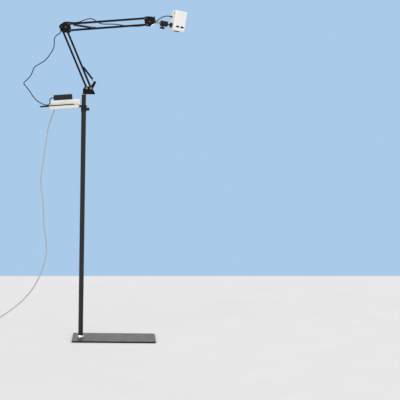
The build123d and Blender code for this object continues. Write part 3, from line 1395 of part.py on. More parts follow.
def leads():
    gland = gland_plane()
    gland_end = tuple(gland.origin + gland.z_dir * GLAND_L)
    floor_end = (COIL_CENTRE[0] + 2 * MAINS_R, COIL_CENTRE[1] + COIL_R, MAINS_R)
    route = [gland_end, stepped(gland_end, gland.z_dir, MAINS_STEP), *MAINS_ROUTE, floor_end]
    hanging = lead_tube("mains_cord", route, MAINS_R)
    coiled = plug_and_coil()
    print("mains lead in all", round(hanging + coiled))

    boot = adapter_exit()
    boot_end = tuple(boot.origin + boot.z_dir * BOOT_L)
    elbow = point(ELBOW_A, LEAD_BEHIND)
    end = point(END_L, LEAD_BEHIND)
    plug = dc_plug_plane()
    lengths = [
        lead_tube("dc_lead_low", [boot_end, stepped(boot_end, boot.z_dir, LEAD_STEP), *DC_LOW_ROUTE], DC_R),
        lead_tube("dc_lead_mid", [*DC_MID_ROUTE, stepped(elbow, ELBOW_WAY, -2 * LEAD_STEP), elbow], DC_R),
        lead_tube(
            "dc_lead_arm",
            [
                elbow,
                stepped(elbow, ELBOW_WAY, 1.5 * LEAD_STEP),
                *DC_ARM_ROUTE,
                stepped(end, END_WAY, -2 * LEAD_STEP),
                end,
            ],
            DC_R,
        ),
        lead_tube(
            "dc_lead_head",
            [
                end,
                stepped(end, END_WAY, 1.5 * LEAD_STEP),
                *DC_HEAD_ROUTE,
                stepped(plug.origin, plug.z_dir, LEAD_STEP),
                tuple(plug.origin),
            ],
            DC_R,
        ),
    ]
    print("adapter lead in all", round(sum(lengths)))

    with BuildPart() as dc_plug:
        with BuildSketch(head_plane(-HEAD_W / 2 - GAP, JACK_Y, JACK_Z, "-x")):
            Circle(DC_PLUG_R)
        extrude(amount=DC_PLUG_L * 0.6)
        with BuildSketch(head_plane(-HEAD_W / 2 - GAP - DC_PLUG_L * 0.6, JACK_Y, JACK_Z, "-x")):
            Circle(DC_PLUG_R * 0.8)
        with BuildSketch(dc_plug_plane()):
            Circle(DC_R + 0.4)
        loft()
        with BuildSketch(head_plane(-HEAD_W / 2 - GAP, JACK_Y, JACK_Z, "x")):
            Circle(DC_BARREL_R - RUN)
        extrude(amount=8)
    save(dc_plug.part, "dc_plug")


base_and_pole()
tray_group()
base_bracket()
arm()
tip_and_ball()
head_covers()
head_inside()
leads()
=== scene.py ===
import bpy
import json
import math
from mathutils import Matrix, Vector


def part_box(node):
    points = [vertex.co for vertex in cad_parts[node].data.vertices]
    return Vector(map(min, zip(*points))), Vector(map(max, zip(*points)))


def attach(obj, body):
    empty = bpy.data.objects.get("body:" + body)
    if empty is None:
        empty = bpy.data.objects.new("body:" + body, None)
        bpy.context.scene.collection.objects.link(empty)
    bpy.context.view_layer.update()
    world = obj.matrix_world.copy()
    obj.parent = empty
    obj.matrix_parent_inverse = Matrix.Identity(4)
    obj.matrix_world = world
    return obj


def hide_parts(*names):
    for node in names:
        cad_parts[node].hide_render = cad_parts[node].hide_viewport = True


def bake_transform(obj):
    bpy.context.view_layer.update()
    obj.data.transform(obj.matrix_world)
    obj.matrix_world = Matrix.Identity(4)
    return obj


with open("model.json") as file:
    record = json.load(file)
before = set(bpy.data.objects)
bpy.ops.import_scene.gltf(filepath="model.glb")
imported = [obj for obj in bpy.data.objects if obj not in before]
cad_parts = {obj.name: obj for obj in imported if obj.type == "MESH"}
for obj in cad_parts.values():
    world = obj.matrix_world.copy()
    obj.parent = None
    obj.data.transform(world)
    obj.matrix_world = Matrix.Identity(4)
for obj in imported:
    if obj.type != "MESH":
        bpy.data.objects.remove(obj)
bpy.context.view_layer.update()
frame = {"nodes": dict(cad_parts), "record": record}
nodes = frame["nodes"]
slot_of = {s["node"]: s["material_slot"] for s in frame["record"]["subparts"]}
MM = 0.001


def mm(point):
    return Vector([c * MM for c in point])


def smooth(mesh, angle):
    for polygon in mesh.polygons:
        polygon.use_smooth = True
    mesh.set_sharp_from_angle(angle=math.radians(angle))


def shown(name, data):
    """A new object in the scene, at the origin."""
    thing = bpy.data.objects.new(name, data)
    bpy.context.scene.collection.objects.link(thing)
    return thing


def plain_mesh(holder):
    """What the holder's curve or modifier makes, as a mesh of its own."""
    bpy.context.view_layer.update()
    depsgraph = bpy.context.evaluated_depsgraph_get()
    return bpy.data.meshes.new_from_object(holder.evaluated_get(depsgraph))


def put(name, mesh, finish):
    """A new piece of the projector, in its finish."""
    piece = shown(name, mesh)
    piece.data.materials.clear()
    piece.data.materials.append(finishes[finish])
    return piece


# Finishes

EDGE_WIDTH = 0.0009
GRAIN_DEPTH = 0.0003
TRACK_DEPTH = 0.0002


def finish_tree(name):
    m = bpy.data.materials.new(name)
    m.use_nodes = True
    t = m.node_tree
    t.nodes.clear()
    out = t.nodes.new("ShaderNodeOutputMaterial")
    shader = t.nodes.new("ShaderNodeBsdfPrincipled")
    t.links.new(shader.outputs[0], out.inputs[0])
    where = t.nodes.new("ShaderNodeTexCoord")
    return m, t, shader, where.outputs["Object"]


def cloud(t, where, scale, stretch=(1, 1, 1), detail=3.0):
    mapping = t.nodes.new("ShaderNodeMapping")
    mapping.inputs["Scale"].default_value = stretch
    t.links.new(where, mapping.inputs["Vector"])
    n = t.nodes.new("ShaderNodeTexNoise")
    n.inputs["Scale"].default_value = scale
    n.inputs["Detail"].default_value = detail
    n.inputs["Roughness"].default_value = 0.55
    t.links.new(mapping.outputs[0], n.inputs["Vector"])
    return n.outputs["Fac"]


def shades(t, value, low, high):
    r = t.nodes.new("ShaderNodeValToRGB")
    r.color_ramp.elements[0].position = 0.3
    r.color_ramp.elements[0].color = (*low, 1)
    r.color_ramp.elements[1].position = 0.7
    r.color_ramp.elements[1].color = (*high, 1)
    t.links.new(value, r.inputs["Fac"])
    return r.outputs["Color"]


def spread(t, value, low, high, start=0.3, stop=0.7):
    r = t.nodes.new("ShaderNodeMapRange")
    r.inputs["From Min"].default_value = start
    r.inputs["From Max"].default_value = stop
    r.inputs["To Min"].default_value = low
    r.inputs["To Max"].default_value = high
    t.links.new(value, r.inputs["Value"])
    return r.outputs["Result"]


def blended(t, share, under, over):
    """One colour over another, by a share. Either is a socket or a plain colour."""
    mix = t.nodes.new("ShaderNodeMix")
    mix.data_type = "RGBA"
    t.links.new(share, mix.inputs["Factor"])
    for name, colour in (("A", under), ("B", over)):
        if isinstance(colour, tuple):
            mix.inputs[name].default_value = (*colour, 1)
        else:
            t.links.new(colour, mix.inputs[name])
    return mix.outputs["Result"]


def relief(t, shader, height, strength, distance, under=None):
    b = t.nodes.new("ShaderNodeBump")
    b.inputs["Strength"].default_value = strength
    b.inputs["Distance"].default_value = distance
    t.links.new(height, b.inputs["Height"])
    if under:
        t.links.new(under, b.inputs["Normal"])
    t.links.new(b.outputs[0], shader.inputs["Normal"])


def rubbed_and_painted_light_edges(t, where):
    """How far a spot is on a rounded edge, patchy along it, and the edge's rounded normal: the share that
    takes the edge colour, a painted edge highlight on most finishes and painted edge shade on the base
    plate.
    """
    eased = t.nodes.new("ShaderNodeBevel")
    eased.samples = 4
    eased.inputs["Radius"].default_value = EDGE_WIDTH
    flat = t.nodes.new("ShaderNodeNewGeometry")
    meet = t.nodes.new("ShaderNodeVectorMath")
    meet.operation = "DOT_PRODUCT"
    t.links.new(eased.outputs[0], meet.inputs[0])
    t.links.new(flat.outputs["Normal"], meet.inputs[1])
    edge = spread(t, meet.outputs["Value"], 1.0, 0.0, 0.75, 0.99)
    edge_wear_and_painted_light_share = t.nodes.new("ShaderNodeMath")
    edge_wear_and_painted_light_share.operation = "MULTIPLY"
    t.links.new(edge, edge_wear_and_painted_light_share.inputs[0])
    t.links.new(spread(t, cloud(t, where, 220), 0.2, 1.0), edge_wear_and_painted_light_share.inputs[1])
    return edge_wear_and_painted_light_share.outputs[0], eased.outputs[0]


def coat(
    name, colour, rough, metal=0.0, tint=0.08, patches=25, grain=700, strength=0.15,
    stretch=(1, 1, 1), swing=0.06, shine=0.5, edge_wear_and_painted_light=None, rim=None,
):
    """A coated, moulded or plated surface: colour drift, fine grain, uneven gloss, and patchy edges in an
    edge colour that is rubbing together with a painted edge highlight (painted edge shade where darker than
    the body); where rim is given, painted shade on the faces that do not face up.
    """
    m, t, shader, where = finish_tree(name)
    low = [c * (1 - tint) for c in colour]
    high = [min(1.0, c * (1 + tint)) for c in colour]
    body = shades(t, cloud(t, where, patches, stretch, 4), low, high)
    eased = None
    # Edge colour on patchy rounded edges: rubbing together with a painted edge highlight where it is
    # lighter than the body, painted edge shade where it is darker.
    if edge_wear_and_painted_light:
        edge_wear_and_painted_light_share, eased = rubbed_and_painted_light_edges(t, where)
        body = blended(t, edge_wear_and_painted_light_share, body, edge_wear_and_painted_light)
    # Faces that do not face up take the rim colour: painted shade on the sides and underside, while the top
    # keeps the body colour.
    if rim:
        facing = t.nodes.new("ShaderNodeSeparateXYZ")
        t.links.new(t.nodes.new("ShaderNodeNewGeometry").outputs["Normal"], facing.inputs[0])
        body = blended(t, spread(t, facing.outputs["Z"], 0.0, 1.0, 0.3, 0.8), rim, body)
    t.links.new(body, shader.inputs["Base Color"])
    gloss = cloud(t, where, patches * 3, stretch)
    t.links.new(spread(t, gloss, rough - swing, rough + swing), shader.inputs["Roughness"])
    relief(t, shader, cloud(t, where, grain, stretch, 2), strength, GRAIN_DEPTH, eased)
    shader.inputs["Metallic"].default_value = metal
    shader.inputs["Specular IOR Level"].default_value = shine
    return m


def lens_coated(name):
    """Coated glass, faintly violet."""
    m, t, shader, where = finish_tree(name)
    tone = shades(t, cloud(t, where, 60), (0.55, 0.62, 0.8), (0.7, 0.66, 0.85))
    t.links.new(tone, shader.inputs["Base Color"])
    shader.inputs["Roughness"].default_value = 0.03
    shader.inputs["Transmission Weight"].default_value = 0.85
    shader.inputs["IOR"].default_value = 1.5
    shader.inputs["Coat Weight"].default_value = 0.6
    return m


def lacquered_board(name):
    """A circuit board: green lacquer with paler tracks."""
    m, t, shader, where = finish_tree(name)
    tracks = t.nodes.new("ShaderNodeTexBrick")
    tracks.inputs["Scale"].default_value = 160
    tracks.inputs["Mortar Size"].default_value = 0.03
    tracks.inputs["Color1"].default_value = (0.02, 0.16, 0.07, 1)
    tracks.inputs["Color2"].default_value = (0.03, 0.2, 0.09, 1)
    tracks.inputs["Mortar"].default_value = (0.25, 0.42, 0.2, 1)
    t.links.new(where, tracks.inputs["Vector"])
    t.links.new(tracks.outputs["Color"], shader.inputs["Base Color"])
    shader.inputs["Roughness"].default_value = 0.35
    relief(t, shader, tracks.outputs["Fac"], 0.3, TRACK_DEPTH)
    return m


# Edge colours mix rubbing with painted light: a lighter edge colour is a painted edge highlight, a darker
# one (the base plate) is painted edge shade.
POWDER = dict(shine=0.14, edge_wear_and_painted_light=(0.03, 0.03, 0.032))
coats = {
    # Base plate: its darker edges and near-black side faces (rim) are painted shade; only the top keeps the
    # plain grey.
    "base_steel": dict(
        colour=(0.05, 0.048, 0.051), rough=0.42, tint=0.14, patches=9, grain=520, strength=0.25,
        shine=0.2, edge_wear_and_painted_light=(0.02, 0.02, 0.021), rim=(0.007, 0.007, 0.0072),
    ),
    "pole_black": dict(
        colour=(0.012, 0.012, 0.0125), rough=0.28, tint=0.15, patches=20, stretch=(1, 1, 0.15),
        shine=0.35,
    ),
    "collar_black": dict(
        colour=(0.018, 0.017, 0.019), rough=0.42, tint=0.12, patches=90, strength=0.3, **POWDER,
    ),
    "arm_black": dict(
        colour=(0.005, 0.0048, 0.005), rough=0.4, tint=0.2, patches=35, strength=0.2, **POWDER,
    ),
    "spring_black": dict(
        colour=(0.016, 0.016, 0.017), rough=0.36, metal=0.3, tint=0.2, patches=60, shine=0.4,
    ),
    "ball_black": dict(
        colour=(0.008, 0.0078, 0.0095), rough=0.3, metal=0.2, tint=0.12, patches=60, grain=1400,
        shine=0.3, edge_wear_and_painted_light=(0.06, 0.06, 0.065),
    ),
    "zinc": dict(colour=(0.36, 0.355, 0.35), rough=0.34, metal=1.0, tint=0.1, patches=70, grain=1500),
    "dark_steel": dict(
        colour=(0.09, 0.085, 0.08), rough=0.36, metal=0.8, tint=0.15, patches=80, grain=1500,
        edge_wear_and_painted_light=(0.2, 0.19, 0.18),
    ),
    "chrome": dict(
        colour=(0.8, 0.8, 0.82), rough=0.09, metal=1.0, tint=0.03, patches=50, strength=0.04, swing=0.03,
    ),
    "engine_alu": dict(colour=(0.6, 0.6, 0.62), rough=0.35, metal=1.0, tint=0.08, grain=1100),
    "rubber": dict(
        colour=(0.03, 0.03, 0.031), rough=0.75, tint=0.25, patches=80, grain=900, strength=0.4,
    ),
    "black_plastic": dict(
        colour=(0.013, 0.013, 0.014), rough=0.42, tint=0.15, patches=60, grain=1300, strength=0.3,
        **POWDER,
    ),
    "adapter_black": dict(
        colour=(0.02, 0.021, 0.024), rough=0.36, tint=0.15, patches=50, grain=1200, strength=0.45,
        **POWDER,
    ),
    "mat_black": dict(
        colour=(0.008, 0.007, 0.007), rough=0.8, tint=0.25, patches=70, grain=800, strength=0.5,
        shine=0.15,
    ),
    "tray_cream": dict(
        colour=(0.7, 0.67, 0.61), rough=0.45, tint=0.05, patches=25, grain=1000, edge_wear_and_painted_light=(0.76, 0.74, 0.7),
    ),
    "white_plastic": dict(
        colour=(0.8, 0.79, 0.76), rough=0.34, tint=0.03, patches=30, grain=1100, strength=0.1,
    ),
    "switch_cream": dict(colour=(0.76, 0.71, 0.56), rough=0.3, tint=0.04, patches=60),
    "lead_white": dict(
        colour=(0.42, 0.43, 0.44), rough=0.5, tint=0.07, patches=45, grain=900, strength=0.2,
    ),
    "lead_black": dict(
        colour=(0.014, 0.0145, 0.015), rough=0.5, tint=0.15, patches=60, grain=900, strength=0.25,
        shine=0.35,
    ),
    "head_white": dict(
        colour=(0.82, 0.82, 0.81), rough=0.36, tint=0.02, patches=18, grain=1400, strength=0.12,
        edge_wear_and_painted_light=(0.87, 0.87, 0.86),
    ),
    "port_black": dict(colour=(0.01, 0.01, 0.011), rough=0.5, tint=0.2, patches=90),
    "button_grey": dict(colour=(0.11, 0.085, 0.085), rough=0.4, tint=0.1, patches=120),
}
finishes = {name: coat(name, **look) for name, look in coats.items()}
finishes["board_green"] = lacquered_board("board_green")
finishes["lens_glass"] = lens_coated("lens_glass")
for node, piece in nodes.items():
    piece.data.materials.clear()
    piece.data.materials.append(finishes[slot_of[node]])


# The photograph's view of the stand, in radians, millimetres and the photograph's pixels

TURN, TIP_DOWN, ROLL = 0.064, -0.059, 0.0195
CAMERA_SPOT = (169.4, -5800, 993.5)
FOCUS_PX, PHOTO_PX = 1259.7, 400
ahead = Vector((
    math.sin(TURN) * math.cos(TIP_DOWN), math.cos(TURN) * math.cos(TIP_DOWN), math.sin(TIP_DOWN),
))
right = Vector((math.cos(TURN), -math.sin(TURN), 0))
up = right.cross(ahead)
right, up = right * math.cos(ROLL) + up * math.sin(ROLL), up * math.cos(ROLL) - right * math.sin(ROLL)
camera = shown("camera", bpy.data.cameras.new("camera"))
camera.matrix_world = Matrix((right, up, -ahead)).transposed().to_4x4()
camera.matrix_world.translation = mm(CAMERA_SPOT)
camera.data.sensor_fit = "HORIZONTAL"
camera.data.sensor_width = 36
camera.data.lens = camera.data.sensor_width * FOCUS_PX / PHOTO_PX
camera.data.clip_end = 50
bpy.context.scene.camera = camera


# Where the arm's pivots, the tray and the head lie, in millimetres and degrees

LOWER_LEAN, UPPER_RISE, TIP_DROP, BALL_YAW, TRAY_SAG = 23.4, 5.6, -8.5, 20, 4.9
LOWER_LEN, UPPER_LEN, TIP_LEN = 300, 350, 58
ROD_HALF, ROD_GAP, PLATE_T = 4.5, 0.5, 2
PAIR_OFFSET = Vector((8, 0, -28.6))
HEAD_W, HEAD_D = 59, 58
DISC_S, DISC_T, DISC_GAP, STUD_BELOW_MID = 18, 7, 0.3, 23.5
TRAY_RIGHT, TRAY_FLOOR_Z = -19, 1064.4
STRIP_SEAT, STRIP_H, STRIP_SPLIT, STRIP_D = 16.5, 23, 12, 52


def turned(angle, x, z):
    a = math.radians(angle)
    return Vector((x * math.cos(a) - z * math.sin(a), 0, x * math.sin(a) + z * math.cos(a)))


BASE_A = Vector((12, 0, 1154))
BASE_B = BASE_A + Vector((20, 0, 0))
ELBOW_A = BASE_A + turned(90 + LOWER_LEAN, LOWER_LEN, 0)
ELBOW_T = ELBOW_A + Vector((34, 0, 14.5))
ELBOW_L = ELBOW_T + PAIR_OFFSET
END_T = ELBOW_T + turned(UPPER_RISE, UPPER_LEN, 0)
END_L = END_T + PAIR_OFFSET
TIP = END_T + Vector((40, 0, -15.5))
TIP_WAY = turned(TIP_DROP, 1, 0)
TIP_UP = turned(TIP_DROP, 0, 1)
BALL = TIP + TIP_WAY * TIP_LEN
HEAD_X = TIP_WAY * math.cos(math.radians(BALL_YAW)) + Vector((0, 1, 0)) * math.sin(math.radians(BALL_YAW))
HEAD_MID = BALL + HEAD_X * (DISC_S + DISC_T + DISC_GAP + HEAD_W / 2) + TIP_UP * STUD_BELOW_MID
HEAD_Y = TIP_UP.cross(HEAD_X)
TRAY_WAY = turned(TRAY_SAG, 1, 0)
TRAY_UP = turned(TRAY_SAG, 0, 1)


def tray_spot(x, high, y=0.0):
    return Vector((TRAY_RIGHT, y, TRAY_FLOOR_Z)) + TRAY_WAY * (x - TRAY_RIGHT) + TRAY_UP * high


def head_spot(x, y, z):
    return HEAD_MID + HEAD_X * x + HEAD_Y * y + TIP_UP * z


def stepped(spot, way, far):
    return Vector(spot) + Vector(way).normalized() * far


# Round wire, drawn along a line: the springs, the end plate's edge and the mat's binding

SPRING_WIRE, WIRE_SIDE_COUNT = 0.9, 8


def wire_tree():
    """Geometry nodes that turn a line into round wire with closed ends."""
    tree = bpy.data.node_groups.new("round_wire", "GeometryNodeTree")
    face = tree.interface
    face.new_socket(name="Geometry", in_out="OUTPUT", socket_type="NodeSocketGeometry")
    face.new_socket(name="Geometry", in_out="INPUT", socket_type="NodeSocketGeometry")
    thick = face.new_socket(name="Wire radius", in_out="INPUT", socket_type="NodeSocketFloat")
    sides = face.new_socket(name="Sides", in_out="INPUT", socket_type="NodeSocketInt")
    thick.default_value = SPRING_WIRE * MM
    sides.default_value = WIRE_SIDE_COUNT
    n = tree.nodes
    begin = n.new("NodeGroupInput")
    rim = n.new("GeometryNodeCurvePrimitiveCircle")
    along = n.new("GeometryNodeCurveToMesh")
    along.inputs["Fill Caps"].default_value = True
    whole = n.new("GeometryNodeRealizeInstances")
    paint = n.new("GeometryNodeSetMaterial")
    paint.inputs["Material"].default_value = finishes["spring_black"]
    end = n.new("NodeGroupOutput")
    tree.links.new(begin.outputs["Wire radius"], rim.inputs["Radius"])
    tree.links.new(begin.outputs["Sides"], rim.inputs["Resolution"])
    tree.links.new(begin.outputs["Geometry"], along.inputs["Curve"])
    tree.links.new(rim.outputs["Curve"], along.inputs["Profile Curve"])
    tree.links.new(along.outputs["Mesh"], whole.inputs["Geometry"])
    tree.links.new(whole.outputs["Geometry"], paint.inputs["Geometry"])
    tree.links.new(paint.outputs["Geometry"], end.inputs["Geometry"])
    return tree, thick.identifier, sides.identifier


WIRE_TREE, WIRE_THICK, WIRE_SIDES = wire_tree()


def drawn_wire(name, spots, radius, finish):
    """Round wire along a row of spots, as a plain mesh."""
    curve = bpy.data.curves.new(name + "_line", "CURVE")
    curve.dimensions = "3D"
    line = curve.splines.new("POLY")
    line.points.add(len(spots) - 1)
    for p, q in zip(line.points, spots):
        p.co = (*mm(q), 1)
    holder = shown(name + "_line", curve)
    wind = holder.modifiers.new("wire", "NODES")
    wind.node_group = WIRE_TREE
    wind[WIRE_THICK] = radius * MM
    wind[WIRE_SIDES] = WIRE_SIDE_COUNT
    mesh = plain_mesh(holder)
    bpy.data.objects.remove(holder)
    smooth(mesh, 60)
    return put(name, mesh, finish)


# Tension springs: each is a hook round its stud, the turns, and a hook round its pin

SPRING_R, SPRING_TURNS, SPRING_Y = 3.9, 24, 12.3
HOOK_ANGLE, HOOK_STEPS, TURN_STEPS, SHANK_STEPS = 250, 12, 16, 5
HORN = Vector((49, 0, 1182))
LOWER_PIN_AT, UPPER_PIN_AT = 120, 117
LOWER_PIN = BASE_B + turned(90 + LOWER_LEAN, LOWER_PIN_AT, 0)
UPPER_PIN = ELBOW_L + turned(UPPER_RISE, UPPER_PIN_AT, 0)
LOWER_COIL, UPPER_COIL = 70, 84


def spring_line(stud, pin, y, coil_length):
    way = (pin - stud).normalized()
    span = (pin - stud).length
    across = way.cross(Vector((0, -1, 0))) * -1
    start = (span - coil_length) / 2
    shank = start - SPRING_R
    spots = []

    def spot(x, w, n):
        spots.append(stud + way * x + across * w + Vector((0, y - n, 0)))

    for k in range(HOOK_STEPS + 1):
        a = math.radians(90 + HOOK_ANGLE - HOOK_ANGLE * k / HOOK_STEPS)
        spot(SPRING_R * math.cos(a), SPRING_R * math.sin(a), 0)
    for k in range(1, SHANK_STEPS + 1):
        spot(shank * k / SHANK_STEPS, SPRING_R, 0)
    steps = TURN_STEPS * SPRING_TURNS
    for k in range(steps + 1):
        a = 2 * math.pi * k / TURN_STEPS
        spot(start + coil_length * k / steps, SPRING_R * math.cos(a), SPRING_R * math.sin(a))
    for k in range(1, SHANK_STEPS + 1):
        spot(span - shank + shank * k / SHANK_STEPS, SPRING_R, 0)
    for k in range(HOOK_STEPS + 1):
        a = math.radians(90 - HOOK_ANGLE * k / HOOK_STEPS)
        spot(span + SPRING_R * math.cos(a), SPRING_R * math.sin(a), 0)
    return spots


def spring(name, stud, pin, y, coil_length):
    return drawn_wire(name, spring_line(stud, pin, y, coil_length), SPRING_WIRE, "spring_black")


# Each spring drawn as wire from its stud to its pin, in place of the CAD springs
for side, y in (("front", -SPRING_Y), ("back", SPRING_Y)):
    low = spring("lower_spring_" + side, HORN, LOWER_PIN, y, LOWER_COIL)
    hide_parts("lower_springs")
    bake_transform(low)
    high = spring("upper_spring_" + side, ELBOW_T, UPPER_PIN, y, UPPER_COIL)
    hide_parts("upper_springs")
    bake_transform(high)


# The bare steel edge that shines along the lower right of the front end plate

EDGE_RADIUS = 1.9
PLATE_FRONT = -(ROD_HALF + ROD_GAP + PLATE_T)
edge_line = [
    END_T + Vector((44.5, PLATE_FRONT, -21.2)),
    END_T + Vector((38, PLATE_FRONT, -26.2)),
    END_T + Vector((31, PLATE_FRONT, -31.2)),
    END_T + Vector((25.5, PLATE_FRONT, -34.6)),
]
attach(drawn_wire("end_plate_edge", edge_line, EDGE_RADIUS, "chrome"), "end")


# The mat's bound edge, which starts and ends at its front left corner

BINDING_RADIUS, BINDING_HIGH = 2.8, 16
BINDING_LEFT, BINDING_RIGHT, BINDING_LAP = -195, -44, 2
MAT_EDGE = -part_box("tray_mat")[0][1] / MM
binding_line = [
    tray_spot(BINDING_LEFT, BINDING_HIGH, MAT_EDGE),
    tray_spot(BINDING_LEFT, BINDING_HIGH, -MAT_EDGE),
    tray_spot(BINDING_RIGHT, BINDING_HIGH, -MAT_EDGE),
    tray_spot(BINDING_RIGHT, BINDING_HIGH, MAT_EDGE),
    tray_spot(BINDING_LEFT - BINDING_LAP, BINDING_HIGH, MAT_EDGE),
]
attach(drawn_wire("mat_binding", binding_line, BINDING_RADIUS, "mat_black"), "mast")


# Screw heads on the head's back and on the strip

SCREW_R, SCREW_H = 2.2, 0.6
SCREW_SLOT = (2.8, 0.6, 0.4)
SLOT_LIFT = (0, 0, 0.16)


def screw_tree():
    """Geometry nodes that set a screw head at each point, its axis along local z, with a black cross on its
    top that is painted shade where the slots lie.
    """
    tree = bpy.data.node_groups.new("case_screws", "GeometryNodeTree")
    face = tree.interface
    face.new_socket(name="Geometry", in_out="OUTPUT", socket_type="NodeSocketGeometry")
    face.new_socket(name="Geometry", in_out="INPUT", socket_type="NodeSocketGeometry")
    wide = face.new_socket(name="Head radius", in_out="INPUT", socket_type="NodeSocketFloat")
    tall = face.new_socket(name="Head height", in_out="INPUT", socket_type="NodeSocketFloat")
    wide.default_value = SCREW_R * MM
    tall.default_value = SCREW_H * MM
    n = tree.nodes
    begin = n.new("NodeGroupInput")
    head = n.new("GeometryNodeMeshCylinder")
    head.inputs["Vertices"].default_value = 24
    steel = n.new("GeometryNodeSetMaterial")
    steel.inputs["Material"].default_value = finishes["dark_steel"]
    both = n.new("GeometryNodeJoinGeometry")
    tree.links.new(begin.outputs["Head radius"], head.inputs["Radius"])
    tree.links.new(begin.outputs["Head height"], head.inputs["Depth"])
    tree.links.new(head.outputs["Mesh"], steel.inputs["Geometry"])
    tree.links.new(steel.outputs["Geometry"], both.inputs[0])
    # Each slot is a black box reaching just past the head's top: painted shade in place of a recessed slot.
    for turn in (0.0, math.pi / 2):
        slot = n.new("GeometryNodeMeshCube")
        slot.inputs["Size"].default_value = mm(SCREW_SLOT)
        lift = n.new("GeometryNodeTransform")
        lift.inputs["Translation"].default_value = mm(SLOT_LIFT)
        lift.inputs["Rotation"].default_value = (0, 0, turn)
        dark = n.new("GeometryNodeSetMaterial")
        dark.inputs["Material"].default_value = finishes["port_black"]
        tree.links.new(slot.outputs["Mesh"], lift.inputs["Geometry"])
        tree.links.new(lift.outputs["Geometry"], dark.inputs["Geometry"])
        tree.links.new(dark.outputs["Geometry"], both.inputs[0])
    place = n.new("GeometryNodeInstanceOnPoints")
    whole = n.new("GeometryNodeRealizeInstances")
    end = n.new("NodeGroupOutput")
    tree.links.new(begin.outputs["Geometry"], place.inputs["Points"])
    tree.links.new(both.outputs["Geometry"], place.inputs["Instance"])
    tree.links.new(place.outputs["Instances"], whole.inputs["Geometry"])
    tree.links.new(whole.outputs["Geometry"], end.inputs["Geometry"])
    return tree, wide.identifier, tall.identifier


SCREW_TREE, SCREW_WIDE, SCREW_TALL = screw_tree()


def screws(name, spots, across, way, body):
    """Screw heads on a flat face: spots on it, two of its ways, and the body they ride."""
    way, across = Vector(way).normalized(), Vector(across).normalized()
    place = Matrix((across, way.cross(across), way)).transposed().to_4x4()
    flat = bpy.data.meshes.new(name + "_spots")
    flat.from_pydata([place.inverted() @ mm(s) for s in spots], [], [])
    holder = shown(name + "_spots", flat)
    repeat = holder.modifiers.new("screws", "NODES")
    repeat.node_group = SCREW_TREE
    repeat[SCREW_WIDE] = SCREW_R * MM
    repeat[SCREW_TALL] = SCREW_H * MM
    mesh = plain_mesh(holder)
    bpy.data.objects.remove(holder)
    mesh.transform(place)
    piece = shown(name, mesh)
    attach(piece, body)


CASE_SCREW_X, CASE_SCREW_Z = (-19, 19), (-35, 35)
STRIP_SCREW_X, STRIP_SCREW_Y = (-143, -17), (-21, 21)
case_spots = [head_spot(x, HEAD_D / 2, z) for x in CASE_SCREW_X for z in CASE_SCREW_Z]
screws("case_screws", case_spots, HEAD_X, HEAD_Y, "head")
strip_spots = [tray_spot(x, STRIP_SEAT + STRIP_H, y) for x in STRIP_SCREW_X for y in STRIP_SCREW_Y]
screws("strip_screws", strip_spots, TRAY_WAY, TRAY_UP, "mast")


# Leads: smooth lines through the air from where each leaves its gland, boot or clip

def smooth_line(points):
    """The route's smooth line: its points are the control points of one open spline."""
    curve = bpy.data.curves.new("route", "CURVE")
    curve.dimensions = "3D"
    spline = curve.splines.new("NURBS")
    spline.points.add(len(points) - 1)
    for p, q in zip(spline.points, points):
        p.co = (*mm(q), 1)
    spline.order_u = 3
    spline.use_endpoint_u = True
    curve.resolution_u = 10
    return curve


def lead(name, points, radius, finish):
    """A round lead, with the points of its smooth line."""
    holder = shown(name + "_route", smooth_line(points))
    path = [tuple(v.co) for v in plain_mesh(holder).vertices]
    holder.data.bevel_depth = radius * MM
    holder.data.bevel_resolution = 4
    holder.data.use_fill_caps = True
    mesh = plain_mesh(holder)
    bpy.data.objects.remove(holder)
    smooth(mesh, 60)
    return put(name, mesh, finish), path


# The mains lead, from the strip to the floor and round its coil

MAINS_R = 3.1
GLAND_X, GLAND_L = -127, 26
GLAND_END = tray_spot(GLAND_X, STRIP_SEAT + STRIP_SPLIT, STRIP_D / 2) + Vector((0, GLAND_L, 0))
COIL_MID = Vector((-545, 286, 0))
COIL_R = 37
COIL_PITCH = 2 * MAINS_R + 1.3
COIL_HALF_TURNS, COIL_IN, COIL_CLIMB = 7, 3, 1
COIL_STEP = math.pi / 8
COIL_FIRST = math.pi / 2
CONTROL_OUT = 0.6


def coil_spots():
    """Turns that wind inwards on the floor, climb by one pitch, and wind outwards above them."""
    winding = COIL_PITCH / (2 * math.pi)
    inner = COIL_R - winding * COIL_IN * math.pi
    spots = []
    for k in range(int(round(COIL_HALF_TURNS * math.pi / COIL_STEP)) + 1):
        angle = k * COIL_STEP
        if angle <= COIL_IN * math.pi:
            radius, high = COIL_R - winding * angle, MAINS_R
        elif angle <= (COIL_IN + COIL_CLIMB) * math.pi:
            radius, high = inner, MAINS_R + COIL_PITCH * (angle / math.pi - COIL_IN)
        else:
            radius = inner + winding * (angle - (COIL_IN + COIL_CLIMB) * math.pi)
            high = MAINS_R + COIL_PITCH
        # The smooth line runs inside its control points, so they lie a little farther out
        radius /= math.cos(COIL_STEP / 2) ** CONTROL_OUT
        around = COIL_FIRST + angle
        spots.append(COIL_MID + Vector((radius * math.cos(around), radius * math.sin(around), high)))
    return spots


